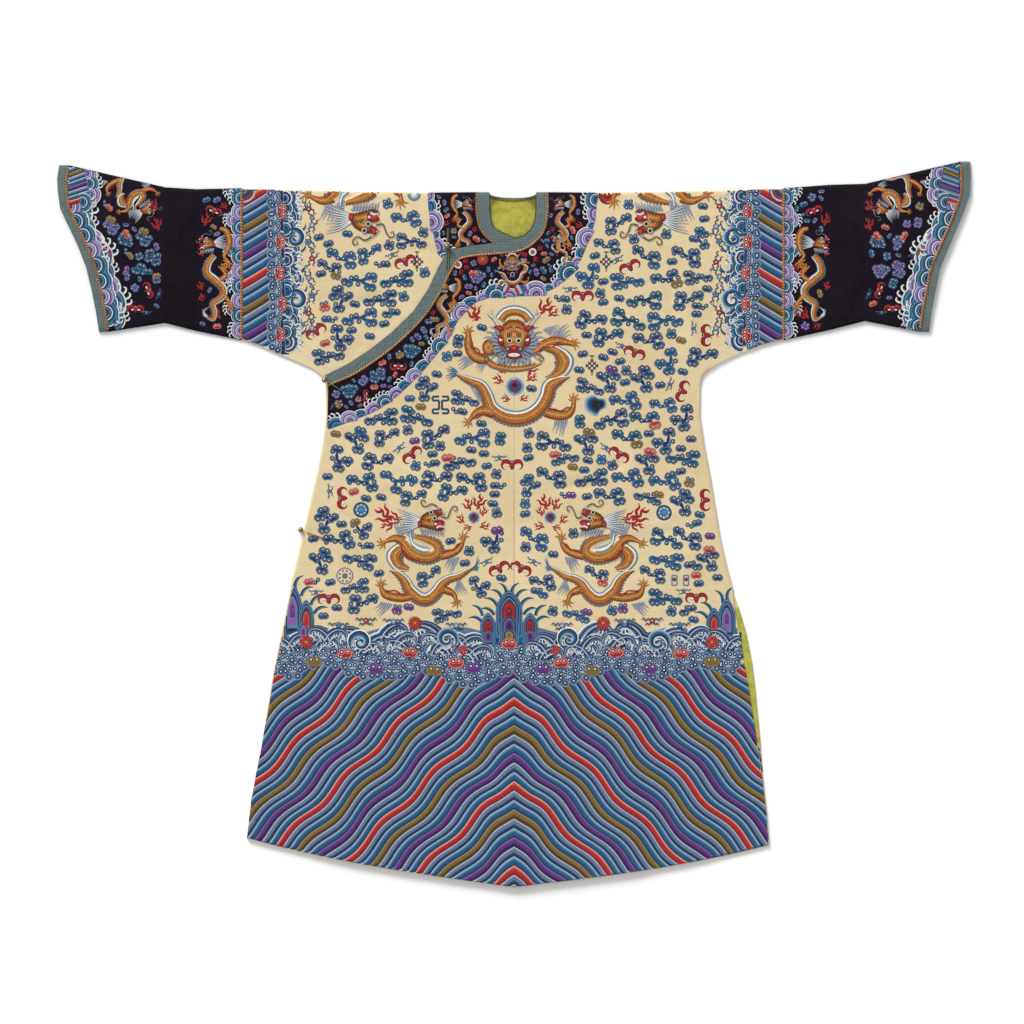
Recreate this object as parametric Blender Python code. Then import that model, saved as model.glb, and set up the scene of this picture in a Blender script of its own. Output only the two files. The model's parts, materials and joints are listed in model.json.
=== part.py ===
"""Chinese dragon robe, laid flat on its back with its sleeves spread.

X runs to the wearer's left, Y from the hem to the shoulders and Z up from the
surface that the back rests on. Every piece of cloth is a closed wall. The back
lies flat, and the front layers lie on it with a soft puff and a few creases.
"Right" and "left" are the wearer's. All sizes are in metres.
"""
import math

import bpy
import numpy as np

# Walls and the gaps between them
WALL = 0.0016            # embroidered satin with its lining
EDGING_WALL = 0.0022     # turned brocade edging
LINING_WALL = 0.0010
LAYER_GAP = 0.0010       # between a layer and the one that lies on it
SEAM = 0.0003            # between two pieces at a seam
LINING_LIFT = 0.0003     # the lining's gap to the wall below it
FOLD_BULGE = 0.0024      # how far a fold stands out past its pattern line
FOLD_STEPS = 3
UP = (0.0, 1.0)
DOWN = (0.0, -1.0)

# Stack: the inner front lies on the back, and the outer front on the inner one
INNER_BASE = WALL + LAYER_GAP
LAYER_STEP = WALL + LAYER_GAP

# Cut of the body
SHOULDER_Y = 0.676
UNDERARM_Y = 0.285       # the sleeve's lower line meets the side here
HEM_SIDE_Y = -0.647
HEM_DROP = 0.0935        # the hem is this much lower at the centre than at the sides
HEM_TILT = 0.007         # the left corner lies lower than the right one by twice this
HEM_STRAIGHT = 0.72      # share of the hem's drop that is a straight line
UNDERLAP_TRIM = 0.006    # the hidden underlap is this much shorter
BACK_YOKE_DEPTH = 0.128
BACK_EDGING_DEPTH = 0.034
BACK_NECK_DIP = 0.010

# Puff of the front layers, which dies away at the edges
PUFF = 0.0026
BODY_PUFF_POWER = 6
SLEEVE_PUFF_POWER = 4
SHOULDER_FADE = 0.05     # the puff starts this far below the shoulder fold
PUFF_REACH = 0.372       # half width of the puff at the underarm
PUFF_FLARE = 0.165       # how much wider it grows for each metre down
RUN_ON_Y = (0.26, 0.36)  # the body's puff runs on into the sleeve above these heights
SLEEVE_START_X = (0.34, 0.46)
SLEEVE_MID_Y = 0.545
SLEEVE_HALF = 0.165

# The left front comes down off the underlap between these lines
UNDERLAP_CLEAR_X = (0.235, 0.300)
UNDERLAP_CLEAR_Y = (0.570, 0.652)

# Ball buttons and their cords
BALL_RADIUS = 0.0055
CORD_RADIUS = 0.0011
BALL_SEGMENTS = 14
BALL_RINGS = 8
CORD_LIFT = 0.0006       # clear height of a cord over the cloth
BUTTONS = {
    "neck": {
        "ball": (-0.1365, 0.5675), "lift": 0.0105,
        "cord": ((-0.1345, 0.604), (-0.1350, 0.590), (-0.1350, 0.576)),
    },
    "chest": {
        "ball": (-0.3870, 0.2945), "lift": 0.0085,
        "cord": ((-0.3800, 0.2900), (-0.3670, 0.2830), (-0.3530, 0.2735)),
    },
    "side": {
        "ball": (-0.4350, -0.0110), "lift": 0.0003,
        "cord": ((-0.4230, -0.0165), (-0.4040, -0.0235), (-0.3840, -0.0290)),
    },
}

SHARP_ANGLE = 50         # degrees, above which an edge is shaded sharp
SLIT_LINING_INSET = 0.0012


def table(columns, *rows):
    """A short table as one array for each named column."""
    return {name: np.array(values, dtype=float) for name, values in zip(columns, zip(*rows))}


# Half widths of the body at each height
SIDES = table(
    ("y", "right", "left_front", "left_back"),
    (UNDERARM_Y, 0.382, 0.378, 0.378),
    (0.223, 0.381, 0.377, 0.377),
    (0.162, 0.388, 0.386, 0.386),
    (0.101, 0.400, 0.398, 0.398),
    (0.040, 0.414, 0.408, 0.408),
    (-0.021, 0.428, 0.418, 0.418),
    (-0.083, 0.443, 0.432, 0.432),
    (-0.130, 0.455, 0.445, 0.445),
    (-0.166, 0.462, 0.450, 0.459),
    (-0.217, 0.472, 0.459, 0.474),
    (-0.278, 0.485, 0.469, 0.486),
    (-0.327, 0.494, 0.478, 0.492),
    (-0.389, 0.504, 0.488, 0.498),
    (-0.450, 0.514, 0.497, 0.504),
    (-0.511, 0.526, 0.506, 0.508),
    (-0.572, 0.537, 0.514, 0.515),
    (HEM_SIDE_Y, 0.545, 0.520, 0.521),
)
SLIT_ROW = 7             # the side seam is sewn down to this row and open below it
SLIT_LINING_ROWS = (8, 13)

# Columns of the body halves: distance from the centre and height of the neck cut
NECK_CUT_LEFT = table(
    ("x", "y"),
    (SEAM / 2, 0.468), (0.033, 0.470), (0.067, 0.478), (0.102, 0.501),
    (0.131, 0.538), (0.149, 0.580), (0.161, 0.615), (0.167, 0.675),
)
NECK_CUT_RIGHT = table(
    ("x", "y"),
    (SEAM / 2, 0.512), (0.060, 0.515), (0.110, 0.525), (0.149, 0.552),
    (0.161, 0.589), (0.169, 0.627), (0.174, 0.675),
)
FLAP_CUT = table(
    ("x", "y"),
    (SEAM / 2, 0.468), (0.045, 0.466), (0.088, 0.450), (0.100, 0.438), (0.114, 0.421),
    (0.137, 0.380), (0.169, 0.338), (0.216, 0.287), (0.263, 0.248), (0.310, 0.223),
    (0.381, 0.197),
)
UNDERLAP_CUT = table(("x", "y"), (SEAM / 2, 0.500), (0.065, 0.492), (0.130, 0.478), (0.190, 0.455))
UNDERLAP_FLARE = 1.16    # the underlap's width at the hem over its width at the top
BODY_COLUMNS = (0.220, 0.275, 0.330)
SHOULDER = table(("x", "y"), (0.0, SHOULDER_Y), (0.167, 0.675), (0.380, 0.678), (0.556, 0.684))
UNDERARM_RIGHT = table(
    ("x", "y"),
    (0.382, UNDERARM_Y), (0.390, 0.303), (0.408, 0.317), (0.437, 0.330), (0.475, 0.346),
    (0.516, 0.364), (0.556, 0.378),
)
UNDERARM_LEFT = table(
    ("x", "y"),
    (0.378, UNDERARM_Y), (0.383, 0.303), (0.397, 0.317), (0.420, 0.331), (0.455, 0.347),
    (0.502, 0.365), (0.550, 0.378),
)
SHOULDER_ROWS = 6        # rows of the body above the underarm

# The collar's three lines: free edge of the edging, its seam to the yoke, and
# the yoke's outer edge, which is the neck cut of the cloth outside it
COLLAR_LEFT = table(
    ("free_x", "free_y", "seam_x", "seam_y"),
    (0.0455, 0.676, 0.0695, 0.676),
    (0.0455, 0.640, 0.0695, 0.640),
    (0.0425, 0.616, 0.065, 0.612),
    (0.034, 0.600, 0.056, 0.591),
    (0.021, 0.589, 0.042, 0.576),
    (0.007, 0.5845, 0.027, 0.5645),
    (-0.002, 0.582, 0.010, 0.558),
    (-0.010, 0.580, -0.006, 0.5555),
    (-0.046, 0.574, -0.045, 0.552),
    (-0.090, 0.5685, -0.085, 0.548),
    (-0.134, 0.560, -0.113, 0.540),
    (-0.153, 0.528, -0.132, 0.511),
    (-0.175, 0.481, -0.155, 0.466),
    (-0.206, 0.4345, -0.188, 0.419),
    (-0.249, 0.393, -0.234, 0.373),
    (-0.294, 0.357, -0.281, 0.336),
    (-0.339, 0.328, -0.328, 0.306),
    (-0.386, 0.304, -0.379, 0.284),
)
MITRE_STATION = 10       # the edging turns a corner here
COLLAR_RIGHT = table(
    ("free_x", "free_y", "seam_x", "seam_y"),
    (-0.0505, 0.676, -0.0775, 0.676),
    (-0.0505, 0.640, -0.0775, 0.640),
    (-0.046, 0.613, -0.071, 0.609),
    (-0.035, 0.600, -0.059, 0.589),
    (-0.021, 0.594, -0.036, 0.568),
    (-0.008, 0.588, -0.014, 0.560),
    (0.004, 0.5815, 0.004, 0.556),
)
NECK_LINING = table(
    ("x", "y"),
    (-0.0493, 0.641), (-0.0450, 0.6138), (-0.0344, 0.6011), (-0.0206, 0.5952), (-0.0075, 0.5892),
    (0.0018, 0.5846), (0.0067, 0.5859), (0.0203, 0.5902), (0.0329, 0.6009), (0.0412, 0.6165),
    (0.0442, 0.641),
)

# Sleeves: the seams between the sleeve's pieces
SLEEVE_RIGHT = table(
    ("x", "top", "bottom"),
    (0.556, 0.684, 0.378), (0.649, 0.682, 0.397), (0.712, 0.686, 0.413),
)
SLEEVE_LEFT = table(
    ("x", "top", "bottom"),
    (0.550, 0.684, 0.378), (0.645, 0.691, 0.399), (0.716, 0.693, 0.417),
)
CUFF_EDGE_RIGHT = table(
    ("x", "y"),
    (0.928, 0.731), (0.932, 0.706), (0.931, 0.682), (0.926, 0.644), (0.908, 0.607), (0.889, 0.566),
    (0.873, 0.524), (0.862, 0.478), (0.853, 0.434), (0.847, 0.395),
)
CUFF_EDGE_LEFT = table(
    ("x", "y"),
    (0.930, 0.7384), (0.932, 0.707), (0.930, 0.672), (0.916, 0.633), (0.900, 0.595), (0.882, 0.553),
    (0.869, 0.520), (0.861, 0.480), (0.852, 0.434), (0.847, 0.395),
)
CUFF_EDGING_WIDTH = 0.019
SLEEVE_ROWS = 9
SLEEVE_CELLS = 2
CUFF_CELLS = 5

# Creases and soft ridges of the front layers: middle, direction in degrees,
# half length, half width, and height, negative for a trough
CREASES = table(
    ("x", "y", "angle", "length", "width", "height"),
    (-0.300, 0.372, 48, 0.085, 0.016, -0.0012),
    (0.296, 0.374, 130, 0.090, 0.016, -0.0013),
    (-0.352, 0.178, 8, 0.045, 0.008, -0.0010),
    (-0.340, 0.158, 2, 0.030, 0.007, -0.0008),
    (-0.250, -0.210, 78, 0.300, 0.055, 0.0014),
    (-0.395, -0.330, 74, 0.230, 0.040, -0.0012),
    (0.205, -0.260, 97, 0.280, 0.060, 0.0015),
    (0.370, -0.300, 104, 0.240, 0.040, -0.0013),
    (-0.080, 0.120, 84, 0.240, 0.050, 0.0010),
    (0.120, 0.200, 95, 0.210, 0.050, 0.0011),
    (-0.480, 0.520, 4, 0.140, 0.045, 0.0010),
    (0.470, 0.560, 177, 0.150, 0.045, 0.0010),
    (-0.640, 0.500, 86, 0.100, 0.022, -0.0010),
    (0.650, 0.560, 92, 0.090, 0.022, -0.0009),
    (-0.790, 0.620, 160, 0.090, 0.024, -0.0010),
    (0.780, 0.610, 22, 0.090, 0.024, -0.0010),
    (0.000, -0.640, 90, 0.110, 0.030, 0.0012),
    (-0.160, -0.600, 82, 0.120, 0.030, -0.0009),
    (0.150, -0.600, 97, 0.120, 0.030, -0.0010),
    (0.110, 0.630, 62, 0.040, 0.014, -0.0007),
)
CREASE_TAPER = 4


def smooth(low, high, value):
    """A smooth step from 0 at low to 1 at high."""
    t = min(1.0, max(0.0, (value - low) / (high - low)))
    return t * t * (3 - 2 * t)


def read(column_x, column_y, value):
    """Straight interpolation in a table whose first column rises or falls."""
    if column_x[0] > column_x[-1]:
        return float(np.interp(value, column_x[::-1], column_y[::-1]))
    return float(np.interp(value, column_x, column_y))


# ---------------------------------------------------------------- heights

def crease_height(x, y):
    """Sum of the creases and soft ridges at a point."""
    turn = np.radians(CREASES["angle"])
    dx = x - CREASES["x"]
    dy = y - CREASES["y"]
    along = dx * np.cos(turn) + dy * np.sin(turn)
    across = dy * np.cos(turn) - dx * np.sin(turn)
    fade = np.exp(-(along / CREASES["length"]) ** CREASE_TAPER - (across / CREASES["width"]) ** 2)
    return float(np.sum(CREASES["height"] * fade))


def puff(x, y):
    """How far the front layers stand up off the back's stack."""
    reach = abs(x)
    half_width = PUFF_REACH + PUFF_FLARE * max(0.0, UNDERARM_Y - y)
    runs_on = smooth(*RUN_ON_Y, y)
    body = 1 - (1 - runs_on) * min(1.0, reach / half_width) ** BODY_PUFF_POWER
    body *= smooth(0.0, SHOULDER_FADE, SHOULDER_Y - y)
    sleeve = 1 - min(1.0, abs(y - SLEEVE_MID_Y) / SLEEVE_HALF) ** SLEEVE_PUFF_POWER
    share = smooth(*SLEEVE_START_X, reach)
    full = body + (sleeve - body) * share
    return max(0.0, PUFF * full + crease_height(x, y) * full)


def inner_base(x, y):
    """Underside of the inner front."""
    return INNER_BASE + puff(x, y)


def outer_base(x, y):
    """Underside of the outer front, which comes down to the back past the underlap."""
    over_underlap = (1 - smooth(*UNDERLAP_CLEAR_X, x)) * (1 - smooth(*UNDERLAP_CLEAR_Y, y))
    return INNER_BASE + LAYER_STEP * over_underlap + puff(x, y)


# ------------------------------------------------------------ cloth walls

class Cloth:
    """A wall of cloth: outer and inner points in pairs, and the faces they share."""

    def __init__(self):
        self.outer = []
        self.inner = []
        self.faces = []

    def point(self, outer, inner):
        self.outer.append(outer)
        self.inner.append(inner)
        return len(self.outer) - 1

    def front(self, grid, base, wall=WALL, first_row=None):
        """Points over a grid of (x, y) on a front layer; first_row reuses points."""
        rows = []
        for number, line in enumerate(grid):
            if number == 0 and first_row is not None:
                rows.append(first_row)
                continue
            made = []
            for x, y in line:
                low = base(x, y)
                made.append(self.point((x, y, low + wall), (x, y, low)))
            rows.append(made)
        self.mesh(rows, upward=True)
        return rows

    def back(self, grid, first_row=None):
        """Points over a grid of (x, y) on the back, which rests on the surface."""
        rows = []
        for number, line in enumerate(grid):
            if number == 0 and first_row is not None:
                rows.append(first_row)
                continue
            rows.append([self.point((x, y, 0.0), (x, y, WALL)) for x, y in line])
        self.mesh(rows, upward=False)
        return rows

    def mesh(self, rows, upward):
        """Quads over rows of points, facing up or down."""
        first = self.outer[rows[0][0]]
        along = self.outer[rows[0][1]]
        down = self.outer[rows[1][0]]
        turn = (along[0] - first[0]) * (down[1] - first[1]) - (along[1] - first[1]) * (down[0] - first[0])
        if (turn > 0) != upward:
            rows = [line[::-1] for line in rows]
        for above, below in zip(rows, rows[1:]):
            for k in range(len(above) - 1):
                self.faces.append((above[k], above[k + 1], below[k + 1], below[k]))

    def fold(self, front_edge, back_edge, start_out=None, end_out=None):
        """Round fold that joins a front edge to the back edge below it.

        It bulges square to the edge, or at an end that meets a seam, along that seam.
        """
        count = len(front_edge)
        strips = [list(front_edge)]
        for step in range(1, FOLD_STEPS):
            strips.append([])
        strips.append(list(back_edge))
        middle_x = np.mean([self.outer[i][0] for i in self.used()])
        middle_y = np.mean([self.outer[i][1] for i in self.used()])
        for k in range(count):
            before = self.outer[front_edge[max(0, k - 1)]]
            after = self.outer[front_edge[min(count - 1, k + 1)]]
            out = (after[1] - before[1], before[0] - after[0])
            size = math.hypot(*out)
            here = self.outer[front_edge[k]]
            sign = 1 if self.leads_out(front_edge, out, (middle_x, middle_y)) else -1
            out = (sign * out[0] / size, sign * out[1] / size)
            if k == 0 and start_out:
                out = start_out
            if k == count - 1 and end_out:
                out = end_out
            low = self.outer[back_edge[k]][2]
            inner_high = self.inner[front_edge[k]][2]
            inner_low = self.inner[back_edge[k]][2]
            for step in range(1, FOLD_STEPS):
                angle = math.pi * step / FOLD_STEPS
                lift = (1 + math.cos(angle)) / 2
                reach = FOLD_BULGE * math.sin(angle)
                inner_reach = (FOLD_BULGE - WALL) * math.sin(angle)
                outer = (here[0] + out[0] * reach, here[1] + out[1] * reach,
                         low + (here[2] - low) * lift)
                inner = (here[0] + out[0] * inner_reach, here[1] + out[1] * inner_reach,
                         inner_low + (inner_high - inner_low) * lift)
                strips[step].append(self.point(outer, inner))
        self.strip_faces(strips)

    def used(self):
        return {index for face in self.faces for index in face}

    def leads_out(self, edge, out, middle):
        """Whether a direction leads away from the middle of the piece."""
        mean_x = np.mean([self.outer[i][0] for i in edge])
        mean_y = np.mean([self.outer[i][1] for i in edge])
        return out[0] * (mean_x - middle[0]) + out[1] * (mean_y - middle[1]) > 0

    def strip_faces(self, strips):
        """Faces of a fold, turned to match the front faces that they join."""
        front_edges = {(face[k], face[(k + 1) % 4]) for face in self.faces for k in range(4)}
        same_way = (strips[0][0], strips[0][1]) in front_edges
        for above, below in zip(strips, strips[1:]):
            for k in range(len(above) - 1):
                quad = (above[k], above[k + 1], below[k + 1], below[k])
                self.faces.append(quad[::-1] if same_way else quad)

    def make(self, name, material):
        """Close the wall with rims and make the object."""
        shift = len(self.outer)
        faces = list(self.faces)
        faces += [tuple(index + shift for index in reversed(face)) for face in self.faces]
        edges = {(face[k], face[(k + 1) % 4]) for face in self.faces for k in range(4)}
        for start, end in sorted(edges):
            if (end, start) not in edges:
                faces.append((end, start, start + shift, end + shift))
        return make_object(name, self.outer + self.inner, faces, material)


def make_object(name, points, faces, material):
    """A smooth-shaded object from points and faces."""
    mesh = bpy.data.meshes.new(name)
    mesh.from_pydata(points, [], faces)
    mesh.validate()
    mesh.shade_smooth()
    mesh.set_sharp_from_angle(angle=math.radians(SHARP_ANGLE))
    piece = bpy.data.objects.new(name, mesh)
    mesh.materials.append(material)
    bpy.context.scene.collection.objects.link(piece)
    return piece


# ------------------------------------------------------------- materials

def cloth_material(name, color, roughness, metallic=0.0):
    """A plain finish in a piece's main colour."""
    material = bpy.data.materials.new(name)
    material.use_nodes = True
    shader = material.node_tree.nodes["Principled BSDF"]
    shader.inputs["Base Color"].default_value = (*color, 1.0)
    shader.inputs["Roughness"].default_value = roughness
    shader.inputs["Metallic"].default_value = metallic
    return material


# ---------------------------------------------------------------- layout

def place(u, width_name, row_y, mirror):
    """A point of the skirt: u is the share of the half width, mirror the side of x."""
    down = (UNDERARM_Y - row_y) / (UNDERARM_Y - HEM_SIDE_Y)
    sag = HEM_DROP * (1 - HEM_STRAIGHT * u - (1 - HEM_STRAIGHT) * u ** 3)
    x = mirror * u * read(SIDES["y"], SIDES[width_name], row_y)
    return (x, row_y - down * (sag + HEM_TILT * mirror * u))


def top_line(cut, x):
    """Height of the upper edge: the neck cut, then the shoulder line."""
    if x <= cut["x"][-1]:
        return read(cut["x"], cut["y"], x)
    return read(SHOULDER["x"], SHOULDER["y"], x)


def back_cut(cut):
    """Neck cut of the back on the same columns as the front's."""
    reach = cut["x"][-1]
    drop = BACK_YOKE_DEPTH * np.sqrt(1 - (cut["x"] / reach) ** 2)
    return {"x": cut["x"], "y": cut["y"][-1] - drop}


def body_grids(cut, underarm, width_name, mirror):
    """Grids of one body half: shoulder and sleeve, then the skirt below the underarm."""
    side = underarm["x"][0]
    body = list(cut["x"]) + list(BODY_COLUMNS)
    columns = body + list(underarm["x"])
    columns[-1] -= SEAM / 2
    bottoms = [UNDERARM_Y] * len(body) + list(underarm["y"])
    upper = []
    for row in range(SHOULDER_ROWS + 1):
        share = row / SHOULDER_ROWS
        line = []
        for x, bottom in zip(columns, bottoms):
            top = top_line(cut, x)
            line.append((mirror * x, top + (bottom - top) * share))
        upper.append(line)
    shares = [x / side for x in columns[: len(body) + 1]]
    lower = [upper[-1][: len(body) + 1]]
    for row_y in SIDES["y"][1:]:
        line = [place(u, width_name, row_y, mirror) for u in shares]
        line[0] = (mirror * SEAM / 2, line[0][1])
        lower.append(line)
    return upper, lower


def body_half(name, cut, underarm, base, widths, mirror, material):
    """One half of the robe: front and back in one length over the shoulder."""
    cloth = Cloth()
    upper, lower = body_grids(cut, underarm, widths[0], mirror)
    front_upper = cloth.front(upper, base)
    split = len(lower[0])
    front_lower = cloth.front(lower, base, first_row=front_upper[-1][:split])
    upper, lower = body_grids(back_cut(cut), underarm, widths[1], mirror)
    back_upper = cloth.back(upper)
    back_lower = cloth.back(lower, first_row=back_upper[-1][:split])
    neck = len(cut["x"]) - 1
    cloth.fold(front_upper[0][neck:], back_upper[0][neck:], UP, UP)
    side_rows = range(SLIT_ROW + 1)
    front_side = front_upper[-1][split - 1:][::-1] + [front_lower[r][-1] for r in side_rows][1:]
    back_side = back_upper[-1][split - 1:][::-1] + [back_lower[r][-1] for r in side_rows][1:]
    cloth.fold(front_side, back_side, start_out=DOWN)
    return cloth.make(name, material)


def front_flap(material):
    """Outer front flap, from the centre seam to the right side and the hem."""
    reach = FLAP_CUT["x"][-1]
    start_y = FLAP_CUT["y"][-1]
    rows_y = [start_y] + [y for y in SIDES["y"] if y < start_y]
    grid = []
    for row_y in rows_y:
        above = (row_y - HEM_SIDE_Y) / (start_y - HEM_SIDE_Y)
        line = []
        for x, cut_y in zip(FLAP_CUT["x"], FLAP_CUT["y"]):
            u = x / reach
            start = place(u, "right", start_y, -1)
            here = place(u, "right", row_y, -1)
            line.append((here[0] - above * (x + start[0]), here[1] + above * (cut_y - start[1])))
        line[0] = (-SEAM / 2, line[0][1])
        grid.append(line)
    cloth = Cloth()
    cloth.front(grid, outer_base)
    return cloth.make("front_flap", material)


def underlap(material):
    """Inner extension of the right front, hidden under the left front."""
    reach = UNDERLAP_CUT["x"][-1]
    rows = len(SIDES["y"]) // 2
    grid = []
    for row in range(rows + 1):
        share = row / rows
        flare = 1 + (UNDERLAP_FLARE - 1) * share
        line = []
        for x, top in zip(UNDERLAP_CUT["x"], UNDERLAP_CUT["y"]):
            u = x * flare / SIDES["left_front"][-1]
            bottom = place(u, "left_front", HEM_SIDE_Y, 1)[1] + UNDERLAP_TRIM
            line.append((x * flare, top + (bottom - top) * share))
        line[0] = (SEAM / 2, line[0][1])
        grid.append(line)
    cloth = Cloth()
    cloth.front(grid, inner_base)
    return cloth.make("underlap", material)


# ---------------------------------------------------------------- collar

def step_towards(start, end, distance):
    """A point a distance along the way from one point to another."""
    length = math.hypot(end[0] - start[0], end[1] - start[1])
    share = distance / length
    return (start[0] + (end[0] - start[0]) * share, start[1] + (end[1] - start[1]) * share)


def across(start, end, cells):
    """Evenly spaced points from one point to another."""
    return [(start[0] + (end[0] - start[0]) * k / cells, start[1] + (end[1] - start[1]) * k / cells)
            for k in range(cells + 1)]


def collar_lines(collar):
    """The edging's free edge and its seam to the yoke, as lists of points."""
    free = list(zip(collar["free_x"], collar["free_y"]))
    seam = list(zip(collar["seam_x"], collar["seam_y"]))
    return free, seam


def back_collar_lines(collar, cut, mirror):
    """The same three lines round the back of the neck, to the centre seam."""
    reach = cut["x"][-1]
    shares = (cut["x"] / reach)[::-1]
    dips = np.sqrt(1 - shares ** 2)
    free_x = abs(collar["free_x"][0])
    seam_x = abs(collar["seam_x"][0])
    outer_y = back_cut(cut)["y"][::-1]
    free = [(mirror * max(SEAM / 2, free_x * s), SHOULDER_Y - BACK_NECK_DIP * d)
            for s, d in zip(shares, dips)]
    seam = [(mirror * max(SEAM / 2, seam_x * s), SHOULDER_Y - BACK_EDGING_DEPTH * d)
            for s, d in zip(shares, dips)]
    outer = [(mirror * max(SEAM / 2, reach * s), y) for s, y in zip(shares, outer_y)]
    return free, seam, outer


def yoke_grid(seam, outer):
    """Yoke between the edging's seam and the neck cut, a seam's gap from both."""
    cells = 3
    grid = []
    for inside, outside in zip(seam, outer):
        start = step_towards(inside, outside, SEAM / 2)
        end = step_towards(outside, inside, SEAM)
        grid.append(across(start, end, cells))
    return grid


def edging_grid(free, seam):
    """Edging between its free edge and its seam to the yoke."""
    return [across(outside, step_towards(inside, outside, SEAM / 2), 2)
            for outside, inside in zip(free, seam)]


def centre_gap(grid, mirror):
    """Pull the last station back from the centre seam."""
    grid[-1] = [(mirror * max(SEAM / 2, abs(x)), y) for x, y in grid[-1]]
    return grid


def collar_piece(name, front_grid, back_grid, base, wall, material):
    """A strip of the collar over one shoulder: front, fold and back."""
    cloth = Cloth()
    front_rows = cloth.front(front_grid, base, wall)
    back_rows = cloth.back(back_grid)
    cloth.fold(front_rows[0], back_rows[0])
    return cloth.make(name, material)


def collar(materials):
    """Yokes and edgings of both sides, and the edging of the flap."""
    outer = list(zip(NECK_CUT_LEFT["x"], NECK_CUT_LEFT["y"]))[::-1]
    outer += [(-x, y) for x, y in zip(FLAP_CUT["x"][1:], FLAP_CUT["y"][1:])]
    free, seam = collar_lines(COLLAR_LEFT)
    back_free, back_seam, back_outer = back_collar_lines(COLLAR_LEFT, NECK_CUT_LEFT, 1)
    collar_piece("yoke_left", yoke_grid(seam, outer), centre_gap(yoke_grid(back_seam, back_outer), 1),
                 outer_base, WALL, materials["night"])
    turn = MITRE_STATION + 1
    neck = edging_grid(free[:turn], seam[:turn])
    collar_piece("neck_edging_left", neck, centre_gap(edging_grid(back_free, back_seam), 1),
                 outer_base, EDGING_WALL, materials["teal"])
    flap = edging_grid(free[MITRE_STATION:], seam[MITRE_STATION:])
    flap[0] = [step_towards(a, b, SEAM) for a, b in zip(flap[0], flap[1])]
    cloth = Cloth()
    cloth.front(flap, outer_base, EDGING_WALL)
    cloth.make("flap_edging", materials["teal"])

    outer = [(-x, y) for x, y in zip(NECK_CUT_RIGHT["x"], NECK_CUT_RIGHT["y"])][::-1]
    free, seam = collar_lines(COLLAR_RIGHT)
    back_free, back_seam, back_outer = back_collar_lines(COLLAR_RIGHT, NECK_CUT_RIGHT, -1)
    collar_piece("yoke_right", yoke_grid(seam, outer), centre_gap(yoke_grid(back_seam, back_outer), -1),
                 inner_base, WALL, materials["night"])
    collar_piece("neck_edging_right", edging_grid(free, seam),
                 centre_gap(edging_grid(back_free, back_seam), -1),
                 inner_base, EDGING_WALL, materials["teal"])


# ---------------------------------------------------------------- linings

def lining_base(x, y):
    """Underside of a lining that lies on the inside of the back."""
    return WALL + LINING_LIFT


def neck_lining(material):
    """Lining seen through the neck, between the back neckline and the front opening."""
    reach = COLLAR_LEFT["free_x"][0] + SEAM
    columns = []
    for x, bottom in zip(NECK_LINING["x"], NECK_LINING["y"]):
        side = min(1.0, abs(x) / (reach if x > 0 else -COLLAR_RIGHT["free_x"][0]))
        top = SHOULDER_Y - BACK_NECK_DIP * math.sqrt(1 - side ** 2) - FOLD_BULGE
        columns.append(across((x, top), (x, bottom), 3))
    cloth = Cloth()
    cloth.front(columns, lining_base, LINING_WALL)
    return cloth.make("neck_lining", material)


def slit_lining(material):
    """Strip of the back's lining that shows past the front at the left side slit."""
    first, last = SLIT_LINING_ROWS
    grid = []
    for row_y in SIDES["y"][first: last + 1]:
        inside = place(1.0, "left_front", row_y, 1)
        outside = place(1.0, "left_back", row_y, 1)
        grid.append([(inside[0] + SEAM, inside[1]), (outside[0] - SLIT_LINING_INSET, outside[1])])
    cloth = Cloth()
    cloth.front(grid, lining_base, LINING_WALL)
    return cloth.make("slit_lining_left", material)


# ---------------------------------------------------------------- sleeves

def sleeve_tube(name, inner_line, outer_line, cells, wall, mirror, material):
    """A flat tube of the sleeve between two lines that run from its top to its bottom."""
    grid = []
    for cell in range(cells + 1):
        share = cell / cells
        grid.append([(mirror * (a[0] + (b[0] - a[0]) * share), a[1] + (b[1] - a[1]) * share)
                     for a, b in zip(inner_line, outer_line)])
    cloth = Cloth()
    front_rows = cloth.front(grid, inner_base, wall)
    back_rows = cloth.back(grid)
    cloth.fold([line[0] for line in front_rows], [line[0] for line in back_rows], UP, UP)
    cloth.fold([line[-1] for line in front_rows], [line[-1] for line in back_rows], DOWN, DOWN)
    return cloth.make(name, material)


def seam_line(sleeve, index, shift):
    """Points down one of the sleeve's seams, moved sideways by half the seam's gap."""
    x = sleeve["x"][index] + shift
    return across((x, sleeve["top"][index]), (x, sleeve["bottom"][index]), SLEEVE_ROWS)


def sleeve(side, sizes, cuff_edge, mirror, materials):
    """The four pieces of a sleeve's end."""
    half = SEAM / 2
    sleeve_tube("sleeve_band_" + side, seam_line(sizes, 0, half), seam_line(sizes, 1, -half),
                SLEEVE_CELLS, WALL, mirror, materials["night"])
    sleeve_tube("sleeve_plain_" + side, seam_line(sizes, 1, half), seam_line(sizes, 2, -half),
                1, WALL, mirror, materials["plain"])
    edge = list(zip(cuff_edge["x"], cuff_edge["y"]))
    cuff_seam = [(x - CUFF_EDGING_WIDTH, y) for x, y in edge]
    sleeve_tube("cuff_" + side, seam_line(sizes, 2, half), [(x - half, y) for x, y in cuff_seam],
                CUFF_CELLS, WALL, mirror, materials["night"])
    sleeve_tube("cuff_edging_" + side, [(x + half, y) for x, y in cuff_seam], edge,
                1, EDGING_WALL, mirror, materials["teal"])


# ---------------------------------------------------------------- buttons

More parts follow.
